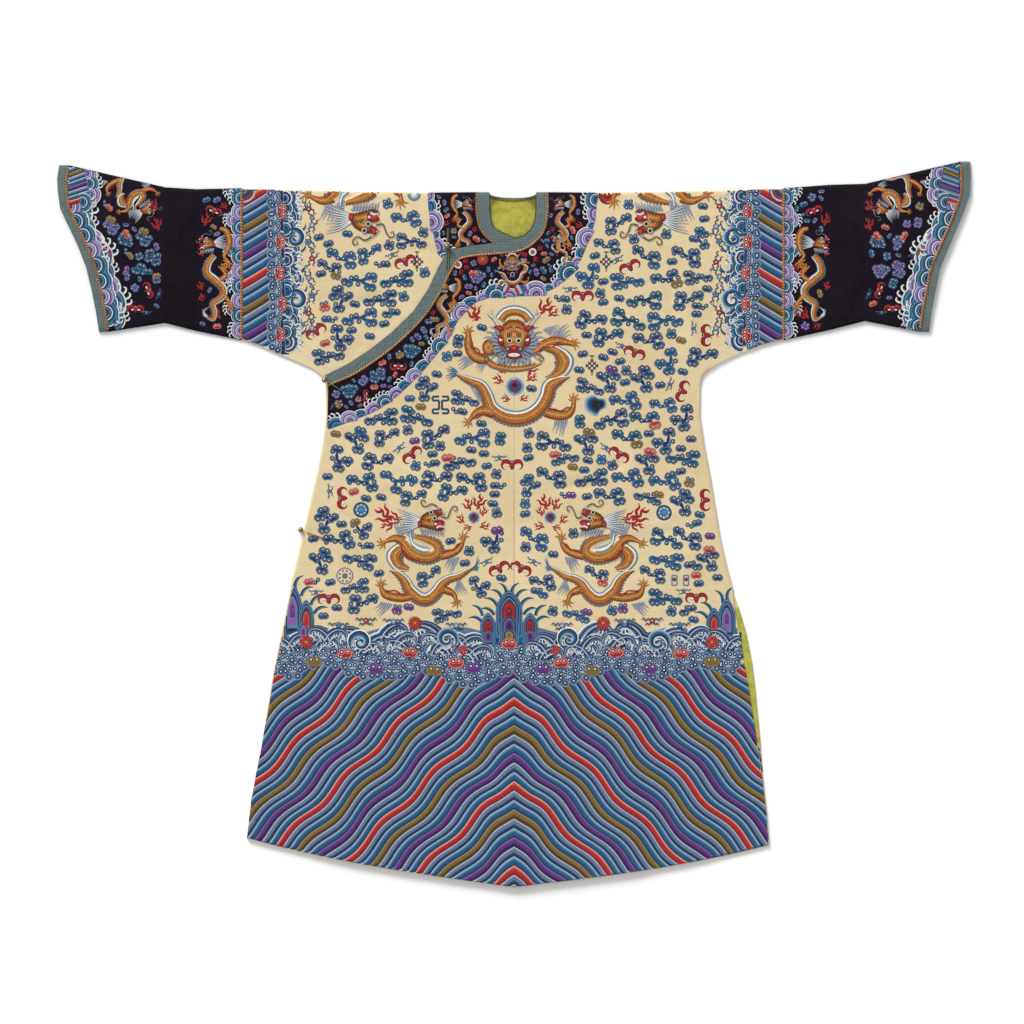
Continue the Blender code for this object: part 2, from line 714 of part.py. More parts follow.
def ball(name, x, y, low, material):
    """A ball button that rests at a height."""
    mesh_points = []
    faces = []
    for ring in range(1, BALL_RINGS):
        tilt = math.pi * ring / BALL_RINGS
        for k in range(BALL_SEGMENTS):
            turn = 2 * math.pi * k / BALL_SEGMENTS
            mesh_points.append((x + BALL_RADIUS * math.sin(tilt) * math.cos(turn),
                                y + BALL_RADIUS * math.sin(tilt) * math.sin(turn),
                                low + BALL_RADIUS * (1 + math.cos(tilt))))
    for ring in range(BALL_RINGS - 2):
        for k in range(BALL_SEGMENTS):
            a = ring * BALL_SEGMENTS + k
            b = ring * BALL_SEGMENTS + (k + 1) % BALL_SEGMENTS
            faces.append((a, a + BALL_SEGMENTS, b + BALL_SEGMENTS, b))
    top = len(mesh_points)
    mesh_points.append((x, y, low + 2 * BALL_RADIUS))
    mesh_points.append((x, y, low))
    last = (BALL_RINGS - 2) * BALL_SEGMENTS
    for k in range(BALL_SEGMENTS):
        following = (k + 1) % BALL_SEGMENTS
        faces.append((top, k, following))
        faces.append((top + 1, last + following, last + k))
    return make_object(name, mesh_points, faces, material)


def cord(name, points, material):
    """A cord loop as a tube along a run of points."""
    curve = bpy.data.curves.new(name, "CURVE")
    curve.dimensions = "3D"
    curve.bevel_depth = CORD_RADIUS
    curve.bevel_resolution = 2
    curve.use_fill_caps = True
    spline = curve.splines.new("POLY")
    spline.points.add(len(points) - 1)
    for target, point in zip(spline.points, points):
        target.co = (*point, 1.0)
    curve.materials.append(material)
    piece = bpy.data.objects.new(name, curve)
    bpy.context.scene.collection.objects.link(piece)
    return piece


def cloth_top(x, y):
    """Top of the thickest stack at a point, edging included."""
    return INNER_BASE + LAYER_STEP + puff(x, y) + EDGING_WALL


def buttons(materials):
    """The three ball buttons with their cords."""
    for name, plan in BUTTONS.items():
        x, y = plan["ball"]
        ball("button_" + name, x, y, plan["lift"], materials["brass"])
        run = [(px, py, cloth_top(px, py) + CORD_LIFT + CORD_RADIUS) for px, py in plan["cord"]]
        cord("loop_" + name, run, materials["cord"])


# ------------------------------------------------------------------ model

def main():
    for old in list(bpy.data.objects):
        bpy.data.objects.remove(old, do_unlink=True)
    materials = {
        "cream": cloth_material("cream_satin", (0.760, 0.610, 0.370), 0.55),
        "night": cloth_material("night_satin", (0.020, 0.012, 0.024), 0.50),
        "plain": cloth_material("plain_dark_satin", (0.016, 0.010, 0.020), 0.45),
        "teal": cloth_material("teal_brocade", (0.100, 0.165, 0.150), 0.60),
        "lining": cloth_material("green_lining", (0.430, 0.450, 0.030), 0.50),
        "brass": cloth_material("brass", (0.480, 0.310, 0.090), 0.35, 0.9),
        "cord": cloth_material("green_cord", (0.120, 0.100, 0.050), 0.70),
    }
    body_half("body_right", NECK_CUT_RIGHT, UNDERARM_RIGHT, inner_base, ("right", "right"), -1,
              materials["cream"])
    body_half("body_left", NECK_CUT_LEFT, UNDERARM_LEFT, outer_base, ("left_front", "left_back"), 1,
              materials["cream"])
    front_flap(materials["cream"])
    underlap(materials["cream"])
    collar(materials)
    neck_lining(materials["lining"])
    slit_lining(materials["lining"])
    sleeve("right", SLEEVE_RIGHT, CUFF_EDGE_RIGHT, -1, materials)
    sleeve("left", SLEEVE_LEFT, CUFF_EDGE_LEFT, 1, materials)
    buttons(materials)


main()
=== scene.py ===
"""Looks of the Chinese dragon robe, laid flat: cloth shells, needlework, camera and light.

X runs to the wearer's left, Y from the hem to the shoulders and Z up from the
surface that the robe lies on. Patterns are in millimetres, the rest in metres.
"""
import json
import math
import random

import bmesh
import bpy
import numpy as np
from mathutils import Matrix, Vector
from mathutils.bvhtree import BVHTree

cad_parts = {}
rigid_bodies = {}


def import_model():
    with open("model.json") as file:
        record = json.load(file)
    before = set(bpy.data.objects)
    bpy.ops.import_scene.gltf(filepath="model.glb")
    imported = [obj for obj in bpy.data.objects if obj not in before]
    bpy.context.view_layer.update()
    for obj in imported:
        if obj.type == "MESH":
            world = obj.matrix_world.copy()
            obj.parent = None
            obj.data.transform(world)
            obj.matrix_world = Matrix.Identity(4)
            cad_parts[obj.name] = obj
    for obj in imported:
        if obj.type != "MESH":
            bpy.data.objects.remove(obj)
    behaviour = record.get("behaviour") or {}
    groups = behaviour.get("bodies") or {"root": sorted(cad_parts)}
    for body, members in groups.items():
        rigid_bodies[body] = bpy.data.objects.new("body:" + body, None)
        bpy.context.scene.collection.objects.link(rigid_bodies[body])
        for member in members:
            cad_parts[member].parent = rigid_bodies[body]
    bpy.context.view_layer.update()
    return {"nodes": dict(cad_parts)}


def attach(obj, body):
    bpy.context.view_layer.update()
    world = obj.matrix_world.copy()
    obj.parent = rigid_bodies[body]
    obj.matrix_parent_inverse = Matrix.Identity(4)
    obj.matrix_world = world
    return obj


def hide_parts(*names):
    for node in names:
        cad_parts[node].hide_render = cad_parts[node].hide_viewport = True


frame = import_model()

MM = 0.001

# ------------------------------------------------------------ cloth layers
WALL = 0.0016
EDGING_WALL = 0.0022
INNER_BASE = 0.0026       # underside of the inner front
LAYER_STEP = 0.0026       # the outer front lies this much higher
SHOULDER_Y = 0.676
UNDERARM_Y = 0.285
PUFF = 0.0026
BODY_PUFF_POWER = 6
SLEEVE_PUFF_POWER = 4
SHOULDER_FADE = 0.05
PUFF_REACH = 0.372
PUFF_FLARE = 0.165
RUN_ON_Y = (0.26, 0.36)
SLEEVE_START_X = (0.34, 0.46)
SLEEVE_MID_Y = 0.545
SLEEVE_HALF = 0.165
UNDERLAP_CLEAR_X = (0.235, 0.300)
UNDERLAP_CLEAR_Y = (0.570, 0.652)
ON_SURFACE = 0.00012      # how near a point is to a front surface that it belongs to
WELD = 0.00001

# Hem and sides of the skirt
HEM_SIDE_Y = -0.647
HEM_DROP = 0.0935
HEM_TILT = 0.007
HEM_STRAIGHT = 0.72
HEM_HALF = {1: 0.520, -1: 0.545}
SIDES = {                 # heights and half widths of the skirt
    1: ((-0.654, -0.458, -0.336, -0.222, -0.170), (0.5200, 0.4970, 0.4780, 0.4590, 0.4500)),
    -1: ((-0.641, -0.443, -0.323, -0.214, -0.160), (0.5450, 0.5140, 0.4940, 0.4720, 0.4620)),
}


def table(columns, *rows):
    """A short table as one array for each named column."""
    return {name: np.array(values, dtype=float) for name, values in zip(columns, zip(*rows))}


# Creases and soft ridges of the front layers: middle, direction in degrees,
# half length, half width, and height, negative for a trough
CREASES = table(
    ("x", "y", "angle", "length", "width", "height"),
    (-0.300, 0.372, 48, 0.085, 0.016, -0.0012),
    (0.296, 0.374, 130, 0.090, 0.016, -0.0013),
    (-0.352, 0.178, 8, 0.045, 0.008, -0.0010),
    (-0.340, 0.158, 2, 0.030, 0.007, -0.0008),
    (-0.250, -0.210, 78, 0.300, 0.055, 0.0014),
    (-0.395, -0.330, 74, 0.230, 0.040, -0.0012),
    (0.205, -0.260, 97, 0.280, 0.060, 0.0015),
    (0.370, -0.300, 104, 0.240, 0.040, -0.0013),
    (-0.080, 0.120, 84, 0.240, 0.050, 0.0010),
    (0.120, 0.200, 95, 0.210, 0.050, 0.0011),
    (-0.480, 0.520, 4, 0.140, 0.045, 0.0010),
    (0.470, 0.560, 177, 0.150, 0.045, 0.0010),
    (-0.640, 0.500, 86, 0.100, 0.022, -0.0010),
    (0.650, 0.560, 92, 0.090, 0.022, -0.0009),
    (-0.790, 0.620, 160, 0.090, 0.024, -0.0010),
    (0.780, 0.610, 22, 0.090, 0.024, -0.0010),
    (0.000, -0.640, 90, 0.110, 0.030, 0.0012),
    (-0.160, -0.600, 82, 0.120, 0.030, -0.0009),
    (0.150, -0.600, 97, 0.120, 0.030, -0.0010),
    (0.110, 0.630, 62, 0.040, 0.014, -0.0007),
)
# Finer ones, of the shells alone
FINE_CREASES = table(
    ("x", "y", "angle", "length", "width", "height"),
    (-0.305, 0.160, 158, 0.075, 0.010, -0.0028),
    (-0.185, 0.125, 152, 0.055, 0.011, -0.0030),
    (-0.100, 0.057, 133, 0.060, 0.011, -0.0026),
    (-0.230, 0.070, 148, 0.080, 0.014, 0.0024),
    (0.125, 0.078, 2, 0.055, 0.010, -0.0026),
    (0.199, 0.116, 21, 0.035, 0.009, -0.0022),
    (0.360, 0.428, 100, 0.085, 0.013, 0.0030),
    (0.325, 0.420, 98, 0.070, 0.011, -0.0020),
    (-0.277, 0.458, 7, 0.045, 0.010, -0.0024),
    (-0.180, 0.560, 171, 0.030, 0.009, -0.0022),
    (-0.410, 0.322, 151, 0.040, 0.014, -0.0026),
    (-0.317, -0.066, 159, 0.035, 0.010, -0.0022),
    (-0.330, 0.020, 170, 0.040, 0.011, -0.0016),
    (0.300, -0.020, 12, 0.060, 0.012, -0.0018),
    (-0.005, 0.190, 90, 0.300, 0.006, -0.0007),
    (0.004, -0.150, 90, 0.260, 0.007, -0.0006),
    (-0.318, 0.345, 52, 0.060, 0.010, 0.0007),
    (0.325, 0.350, 126, 0.055, 0.010, 0.0007),
    (-0.362, 0.196, 12, 0.034, 0.006, 0.0008),
    (-0.355, 0.139, 175, 0.026, 0.005, -0.0007),
    (0.352, 0.214, 168, 0.040, 0.008, -0.0007),
    (-0.205, 0.060, 96, 0.160, 0.018, 0.0006),
    (0.262, 0.052, 80, 0.190, 0.020, -0.0006),
    (-0.130, -0.330, 86, 0.130, 0.022, -0.0007),
    (0.070, -0.390, 92, 0.170, 0.020, 0.0007),
    (0.290, -0.440, 99, 0.150, 0.024, 0.0007),
    (-0.330, -0.470, 79, 0.140, 0.024, 0.0007),
    (-0.440, -0.240, 76, 0.100, 0.016, -0.0006),
    (0.430, -0.180, 100, 0.120, 0.015, 0.0006),
    (-0.420, 0.470, 100, 0.090, 0.018, -0.0006),
    (0.410, 0.480, 82, 0.080, 0.018, -0.0006),
    (-0.560, 0.600, 12, 0.080, 0.016, 0.0006),
    (0.560, 0.450, 170, 0.080, 0.016, 0.0006),
    (-0.860, 0.560, 66, 0.060, 0.014, 0.0007),
    (0.870, 0.590, 114, 0.070, 0.014, 0.0007),
)
CREASE_TAPER = 4


def smooth(low, high, value):
    """A smooth step from 0 at low to 1 at high."""
    t = np.clip((value - low) / (high - low), 0.0, 1.0)
    return t * t * (3 - 2 * t)


def crease_height(creases, x, y):
    """Sum of a table's creases at points."""
    total = np.zeros_like(x)
    for row in range(len(creases["x"])):
        turn = math.radians(creases["angle"][row])
        dx = x - creases["x"][row]
        dy = y - creases["y"][row]
        along = dx * math.cos(turn) + dy * math.sin(turn)
        across = dy * math.cos(turn) - dx * math.sin(turn)
        fade = np.exp(-(along / creases["length"][row]) ** CREASE_TAPER
                      - (across / creases["width"][row]) ** 2)
        total += creases["height"][row] * fade
    return total


def puff_share(x, y):
    """Share of the full puff at points: 0 at the edges and 1 well inside."""
    reach = np.abs(x)
    half_width = PUFF_REACH + PUFF_FLARE * np.maximum(0.0, UNDERARM_Y - y)
    runs_on = smooth(*RUN_ON_Y, y)
    body = 1 - (1 - runs_on) * np.minimum(1.0, reach / half_width) ** BODY_PUFF_POWER
    body = body * smooth(0.0, SHOULDER_FADE, SHOULDER_Y - y)
    sleeve = 1 - np.minimum(1.0, np.abs(y - SLEEVE_MID_Y) / SLEEVE_HALF) ** SLEEVE_PUFF_POWER
    return body + (sleeve - body) * smooth(*SLEEVE_START_X, reach)


def front_base(x, y, outer):
    """Underside of the inner or the outer front, as on the solid."""
    share = puff_share(x, y)
    base = INNER_BASE + np.maximum(0.0, PUFF * share + crease_height(CREASES, x, y) * share)
    if outer:
        clear = (1 - smooth(*UNDERLAP_CLEAR_X, x)) * (1 - smooth(*UNDERLAP_CLEAR_Y, y))
        base = base + LAYER_STEP * clear
    return base


# ------------------------------------------------------------------ shells
# Cloth nodes: layer, wall, rounds of halving, flat width and length of the
# cut in metres, its area in square metres, and finish
CLOTHS = {
    "body_left": ("outer", WALL, 3, 0.552, 2.85, 1.27, "cream"),
    "body_right": ("inner", WALL, 3, 0.560, 2.85, 1.30, "cream"),
    "front_flap": ("outer", WALL, 3, 0.545, 1.21, 0.476, "cream"),
    "underlap": ("inner", WALL, 1, 0.225, 1.24, 0.249, "cream"),
    "yoke_left": ("outer", WALL, 2, 0.285, 0.82, 0.075, "night"),
    "yoke_right": ("inner", WALL, 2, 0.178, 0.30, 0.034, "night"),
    "neck_edging_left": ("outer", EDGING_WALL, 2, 0.030, 0.29, 0.0085, "teal"),
    "neck_edging_right": ("inner", EDGING_WALL, 2, 0.028, 0.22, 0.0059, "teal"),
    "flap_edging": ("outer", EDGING_WALL, 2, 0.030, 0.37, 0.0100, "teal"),
    "sleeve_band_right": ("inner", WALL, 2, 0.093, 0.62, 0.057, "night"),
    "sleeve_band_left": ("inner", WALL, 2, 0.095, 0.62, 0.058, "night"),
    "sleeve_plain_right": ("inner", WALL, 2, 0.063, 0.59, 0.036, "plain"),
    "sleeve_plain_left": ("inner", WALL, 2, 0.071, 0.59, 0.041, "plain"),
    "cuff_right": ("inner", WALL, 2, 0.201, 0.68, 0.099, "night"),
    "cuff_left": ("inner", WALL, 2, 0.197, 0.69, 0.098, "night"),
    "cuff_edging_right": ("inner", EDGING_WALL, 2, 0.020, 0.72, 0.0142, "teal"),
    "cuff_edging_left": ("inner", EDGING_WALL, 2, 0.020, 0.73, 0.0144, "teal"),
    "neck_lining": (None, WALL, 2, 0.0935, 0.087, 0.0065, "lining"),
    "slit_lining_left": (None, WALL, 2, 0.0135, 0.285, 0.0035, "lining"),
}


def welded(node):
    """Points and triangles of a CAD node, with shared corners welded."""
    box = bmesh.new()
    box.from_mesh(frame["nodes"][node].data)
    bmesh.ops.remove_doubles(box, verts=box.verts, dist=WELD)
    bmesh.ops.triangulate(box, faces=box.faces)
    points = np.array([v.co[:] for v in box.verts])
    faces = np.array([[v.index for v in face.verts] for face in box.faces])
    box.free()
    return points, faces


def halved(points, roles, faces):
    """Each triangle cut in four; a new point keeps its edge's role if both ends share it."""
    edges = np.sort(np.concatenate([faces[:, [0, 1]], faces[:, [1, 2]], faces[:, [2, 0]]]), axis=1)
    unique, inverse = np.unique(edges, axis=0, return_inverse=True)
    inverse = inverse.reshape(3, -1) + len(points)
    middle = points[unique].mean(axis=1)
    same = roles[unique[:, 0]] == roles[unique[:, 1]]
    middle_roles = np.where(same, roles[unique[:, 0]], 0)
    a, b, c = faces.T
    ab, bc, ca = inverse
    cut = np.concatenate([np.stack(t, axis=1) for t in
                          ((a, ab, ca), (ab, b, bc), (ca, bc, c), (ab, bc, ca))])
    return np.concatenate([points, middle]), np.concatenate([roles, middle_roles]), cut


def shell(node):
    """A cloth shell on the form of a CAD node, with the finer creases added."""
    layer, wall, rounds = CLOTHS[node][:3]
    points, faces = welded(node)
    roles = np.zeros(len(points), dtype=int)
    if layer:
        base = front_base(points[:, 0], points[:, 1], layer == "outer")
        roles[np.abs(points[:, 2] - base - wall) < ON_SURFACE] = 1
        roles[np.abs(points[:, 2] - base) < ON_SURFACE] = 2
    for step in range(rounds):
        points, roles, faces = halved(points, roles, faces)
    if layer:
        base = front_base(points[:, 0], points[:, 1], layer == "outer")
        fine = crease_height(FINE_CREASES, points[:, 0], points[:, 1])
        base = base + fine * puff_share(points[:, 0], points[:, 1])
        points[:, 2] = np.where(roles == 1, base + wall, np.where(roles == 2, base, points[:, 2]))
    return points, faces


def mesh_object(name, points, faces, materials):
    """A mesh object from arrays."""
    mesh = bpy.data.meshes.new(name)
    mesh.from_pydata(points.tolist(), [], faces.tolist())
    for material in materials:
        mesh.materials.append(material)
    piece = bpy.data.objects.new(name, mesh)
    bpy.context.scene.collection.objects.link(piece)
    return piece


# --------------------------------------------------------------- materials
DEPTH = 0.86              # finishes are this much deeper than their screen values, for bright light


def linear(red, green, blue):
    """A linear colour from eight-bit screen values."""
    return tuple(DEPTH * (((c / 255 + 0.055) / 1.055) ** 2.4 if c > 10 else c / 255 / 12.92)
                 for c in (red, green, blue))


THREADS = {
    "white": linear(236, 232, 222), "pale": linear(158, 176, 190), "light": linear(102, 142, 178),
    "mid": linear(30, 82, 132), "blue": linear(22, 64, 110), "navy": linear(12, 28, 66),
    "night": linear(20, 17, 36), "sky": linear(82, 134, 166), "teal": linear(10, 84, 120),
    "deep": linear(8, 54, 88), "slate": linear(94, 116, 146), "mist": linear(178, 182, 194),
    "lilac": linear(120, 110, 168), "purple": linear(90, 44, 122), "plum": linear(50, 20, 76),
    "orchid": linear(134, 92, 156), "red": linear(168, 26, 30), "crimson": linear(122, 16, 24),
    "coral": linear(192, 70, 58), "pink": linear(222, 160, 142), "olive": linear(122, 94, 42),
    "umber": linear(76, 56, 24), "sand": linear(150, 128, 78), "gold": linear(196, 130, 58),
    "amber": linear(154, 86, 32), "straw": linear(226, 174, 104),
    "black": linear(16, 14, 18), "ash": linear(112, 112, 116), "cream": linear(226, 205, 163),
}
TONE = {name: index for index, name in enumerate(THREADS)}
GOLD_TONES = ("gold", "amber", "straw")
PLAIN = (1, 1, 1)
SHEEN_ROUGHNESS = 0.4
GLOSS = 0.3


class Shader:
    """Nodes of one material, added one after another."""

    def __init__(self, name, roughness, metallic=0.0, sheen=0.0):
        self.material = bpy.data.materials.new(name)
        self.material.use_nodes = True
        self.tree = self.material.node_tree
        self.main = self.tree.nodes["Principled BSDF"]
        self.main.inputs["Roughness"].default_value = roughness
        self.main.inputs["Metallic"].default_value = metallic
        self.main.inputs["Sheen Weight"].default_value = sheen
        self.main.inputs["Sheen Roughness"].default_value = SHEEN_ROUGHNESS
        self.main.inputs["Specular IOR Level"].default_value = GLOSS
        self.bump_end = None

    def node(self, kind, inputs=(), **settings):
        """A node with its settings; each input is given a value or a link."""
        made = self.tree.nodes.new(kind)
        for key, value in settings.items():
            setattr(made, key, value)
        for key, value in inputs:
            if isinstance(value, bpy.types.NodeSocket):
                self.tree.links.new(value, made.inputs[key])
            else:
                made.inputs[key].default_value = value
        return made

    def place(self, scale, turn=0.0, source="Object"):
        """Coordinates of the object or its threads, scaled and turned."""
        where = self.node("ShaderNodeTexCoord").outputs[source]
        return self.node("ShaderNodeMapping", (("Vector", where), ("Scale", scale),
                                               ("Rotation", (0, 0, math.radians(turn))))).outputs[0]

    def noise(self, place, scale, detail=3.0, roughness=0.6):
        """Clouded noise."""
        return self.node("ShaderNodeTexNoise", (("Vector", place), ("Scale", scale),
                                                ("Detail", detail), ("Roughness", roughness))).outputs["Fac"]

    def wave(self, place, scale, distortion=0.0, detail=2.0, direction="X"):
        """Parallel threads."""
        inputs = (("Vector", place), ("Scale", scale), ("Distortion", distortion), ("Detail", detail))
        return self.node("ShaderNodeTexWave", inputs, bands_direction=direction).outputs["Fac"]

    def fade(self, place, middle, scale):
        """1 at a place of the ground, falling evenly to 0 round it."""
        shift = [-m * s for m, s in zip(middle, scale)]
        spot = self.node("ShaderNodeMapping", (("Vector", place), ("Scale", (*scale, 0)),
                                               ("Location", (*shift, 0))))
        return self.node("ShaderNodeTexGradient", (("Vector", spot.outputs[0]),),
                         gradient_type="SPHERICAL").outputs["Fac"]

    def ramp(self, factor, *stops):
        """Colours at places of a factor from 0 to 1."""
        made = self.node("ShaderNodeValToRGB", (("Fac", factor),))
        line = made.color_ramp
        while len(line.elements) < len(stops):
            line.elements.new(0.5)
        for element, (place, color) in zip(line.elements, stops):
            element.position = place
            element.color = (*color, 1.0)
        return made.outputs["Color"]

    def mix(self, kind, factor, a, b):
        """Two colours blended."""
        made = self.node("ShaderNodeMix", data_type="RGBA", blend_type=kind)
        for socket, value in ((made.inputs[0], factor), (made.inputs[6], a), (made.inputs[7], b)):
            if isinstance(value, bpy.types.NodeSocket):
                self.tree.links.new(value, socket)
            else:
                socket.default_value = value
        return made.outputs[2]

    def color(self, socket):
        """The finish's colour."""
        self.tree.links.new(socket, self.main.inputs["Base Color"])

    def bump(self, height, strength, distance):
        """A relief over those already there."""
        inputs = [("Height", height), ("Strength", strength), ("Distance", distance)]
        if self.bump_end:
            inputs.append(("Normal", self.bump_end))
        self.bump_end = self.node("ShaderNodeBump", inputs).outputs["Normal"]
        self.tree.links.new(self.bump_end, self.main.inputs["Normal"])


def satin(name, color, dark, roughness, stain, sheen=0.15, gloss=GLOSS):
    """Plain satin: fine floats of weave, faint wear and stains."""
    made = Shader(name, roughness=roughness, sheen=sheen)
    made.main.inputs["Specular IOR Level"].default_value = gloss
    where = made.place(PLAIN)
    ground = made.ramp(made.noise(where, 5.0, detail=5.0), (0.30, dark), (0.62, color))
    spots = made.ramp(made.noise(where, 60.0, detail=4.0, roughness=0.75), (0.35, (1 - stain,) * 3),
                      (0.55, PLAIN))
    made.color(made.mix("MULTIPLY", 1.0, ground, spots))
    made.bump(made.wave(made.place(PLAIN, 90), 560.0, distortion=2.0, detail=1.0), strength=0.10,
              distance=0.0002)
    made.bump(made.noise(where, 38.0, detail=4.0), strength=0.10, distance=0.0016)
    made.bump(made.noise(made.place((1, 2.6, 1), 12), 7.0, detail=3.0, roughness=0.5), strength=0.35,
              distance=0.006)
    return made.material


NECK_MIDDLE = (-0.0025, 0.627)
NECK_REACH = (0.048, 0.044)
NECK_BACK = (-0.0025, 0.804)     # centre of the round neckline at the back
NECK_BACK_SCALE = (5, 5)
BINDING = (0.34, 0.24, 0.20)     # how much the brown binding darkens the lining, and the painted shade at the rim of the opening
RIM_PAINTED_SHADE = (0.42, 0.36, 0.28)


def lining(name):
    """Yellow-green silk lining, with painted shade round the edges of the neck opening, and bound in brown at
    its back.
    """
    made = Shader(name, roughness=0.6, sheen=0.15)
    where = made.place(PLAIN)
    opening = made.fade(where, NECK_MIDDLE, [0.5 / reach for reach in NECK_REACH])
    # painted shade: the lining is darkened in a ring along the edges of the neck opening
    rim_painted_shade = made.ramp(opening, (0.02, PLAIN), (0.30, RIM_PAINTED_SHADE), (0.47, (0.46, 0.40, 0.30)),
                    (0.53, (0.80, 0.78, 0.72)), (0.64, PLAIN))
    behind = made.fade(where, NECK_BACK, NECK_BACK_SCALE)
    binding = made.ramp(behind, (0.262, PLAIN), (0.272, BINDING), (0.302, (0.62, 0.46, 0.36)))
    wear = made.ramp(made.noise(where, 60.0, detail=5.0, roughness=0.75), (0.32, linear(150, 146, 50)),
                     (0.60, linear(188, 186, 74)))
    made.color(made.mix("MULTIPLY", 1.0, made.mix("MULTIPLY", 1.0, wear, rim_painted_shade), binding))
    made.bump(made.noise(made.place((1, 0.2, 1)), 60.0, detail=3.0), strength=0.3, distance=0.002)
    return made.material


def floss(name, roughness, metallic, scale_marks):
    """Silk floss or couched gold, in the tone of each stitch, with its threads."""
    made = Shader(name, roughness=roughness, metallic=metallic, sheen=0.0 if metallic else 0.25)
    tone = made.node("ShaderNodeVertexColor", layer_name="tone").outputs["Color"]
    along = made.place(PLAIN, source="UV")
    threads = made.wave(along, 420.0, distortion=1.5, detail=2.0, direction="Y")
    shade = made.ramp(threads, (0.0, (0.78,) * 3), (0.7, (1.08,) * 3))
    wear = made.noise(made.place(PLAIN), 240.0, detail=3.0, roughness=0.7)
    light = made.ramp(wear, (0.30, (0.84,) * 3), (0.62, (1.10,) * 3))
    color = made.mix("MULTIPLY", 0.8, made.mix("MULTIPLY", 0.8, tone, shade), light)
    if scale_marks:
        cells = made.node("ShaderNodeTexVoronoi", (("Vector", along), ("Scale", 210.0),
                                                   ("Randomness", 0.35))).outputs["Distance"]
        edge = made.ramp(cells, (0.15, (1.12, 1.06, 1.0)), (0.62, (0.55, 0.42, 0.34)))
        color = made.mix("MULTIPLY", 0.75, color, edge)
        made.bump(cells, strength=0.35, distance=0.0006)
    made.color(color)
    made.bump(threads, strength=0.22, distance=0.0003)
    return made.material


def brocade(name):
    """Teal-grey brocade with a small golden fret."""
    made = Shader(name, roughness=0.55, sheen=0.2)
    tiles = made.node("ShaderNodeTexBrick", (
        ("Vector", made.place(PLAIN, 45)), ("Scale", 64.0), ("Mortar Size", 0.085),
        ("Color1", (*linear(26, 70, 92), 1)), ("Color2", (*linear(52, 92, 108), 1)),
        ("Mortar", (*linear(112, 124, 118), 1))))
    worn = made.ramp(made.noise(made.place(PLAIN), 120.0, detail=4.0, roughness=0.8), (0.3, (0.55,) * 3),
                     (0.65, (1.1,) * 3))
    made.color(made.mix("MULTIPLY", 0.7, tiles.outputs["Color"], worn))
    made.bump(tiles.outputs["Fac"], strength=0.4, distance=0.0004)
    return made.material


def metal(name):
    """Worn brass of the buttons, with a chased surface."""
    made = Shader(name, roughness=0.38, metallic=0.9)
    wear = made.noise(made.place(PLAIN), 900.0, detail=4.0)
    made.color(made.ramp(wear, (0.3, linear(84, 64, 34)), (0.6, linear(186, 146, 84))))
    made.bump(wear, strength=0.5, distance=0.0005)
    return made.material


def cord_silk(name):
    """Twisted silk cord of the button loops."""
    made = Shader(name, roughness=0.6, sheen=0.3)
    twist = made.wave(made.place(PLAIN, 40), 260.0)
    made.color(made.ramp(twist, (0.0, linear(70, 62, 36)), (1.0, linear(140, 126, 78))))
    made.bump(twist, strength=0.6, distance=0.0005)
    return made.material


def make_finishes():
    """Every finish of the robe."""
    return {
        "cream": satin("cream_satin", linear(230, 209, 166), linear(220, 197, 151), roughness=0.62,
                       stain=0.05),
        "night": satin("night_satin", linear(31, 21, 36), linear(20, 13, 24), roughness=0.7, stain=0.25,
                       sheen=0.0, gloss=0.08),
        "plain": satin("plain_satin", linear(31, 21, 32), linear(17, 11, 19), roughness=0.7, stain=0.35,
                       sheen=0.0, gloss=0.08),
        "lining": lining("green_lining"),
        "teal": brocade("teal_brocade"),
        "floss": floss("silk_floss", roughness=0.55, metallic=0.0, scale_marks=False),
        "gold": floss("gold_thread", roughness=0.46, metallic=0.35, scale_marks=True),
        "brass": metal("brass"),
        "cord": cord_silk("green_cord"),
    }


# -------------------------------------------------------------- needlework
BASE_LIFT = 0.15          # millimetres, a stitched shape's edge above the cloth
DOME = 0.30               # and its middle above its edge
CORE = 0.04               # the smallest ring of a filled shape


def curve(knots, count):
    """Evenly stepped points of a smooth curve from its second knot to its last but one."""
    t = np.linspace(0, len(knots) - 3, count)
    i = np.minimum(t.astype(int), len(knots) - 4)
    f = (t - i)[:, None]
    a, b, c, d = (knots[i + k] for k in range(4))
    return 0.5 * (2 * b + (c - a) * f + (2 * a - 5 * b + 4 * c - d) * f ** 2
                  + (3 * b - a - 3 * c + d) * f ** 3)


def spline(knots, count):
    """A smooth curve through all its knots, of any width."""
    knots = np.asarray(knots, dtype=float)
    return curve(np.concatenate([[2 * knots[0] - knots[1]], knots, [2 * knots[-1] - knots[-2]]]), count)


def closed(knots, count):
    """A smooth curve round a closed outline; its last point repeats the first."""
    knots = np.asarray(knots, dtype=float)
    return curve(np.concatenate([knots[-1:], knots, knots[:2]]), count + 1)


def sideways(run):
    """Unit steps to the left of a run."""
    return np.stack([-run[:, 1], run[:, 0]], -1) / np.hypot(*run.T)[:, None]


def flipped(side, points, middle=0):
    """Points drawn for the right, on either side of a middle."""
    return [(middle + side * x, y) for x, y in points]


def polar(radius, degrees):
    """A place at a distance and an angle."""
    return radius * math.cos(math.radians(degrees)), radius * math.sin(math.radians(degrees))


def lengths(path):
    """Distance along a path at each of its points."""
    steps = np.hypot(*np.diff(path[:, :2], axis=0).T)
    return np.concatenate([[0.0], np.cumsum(steps)])


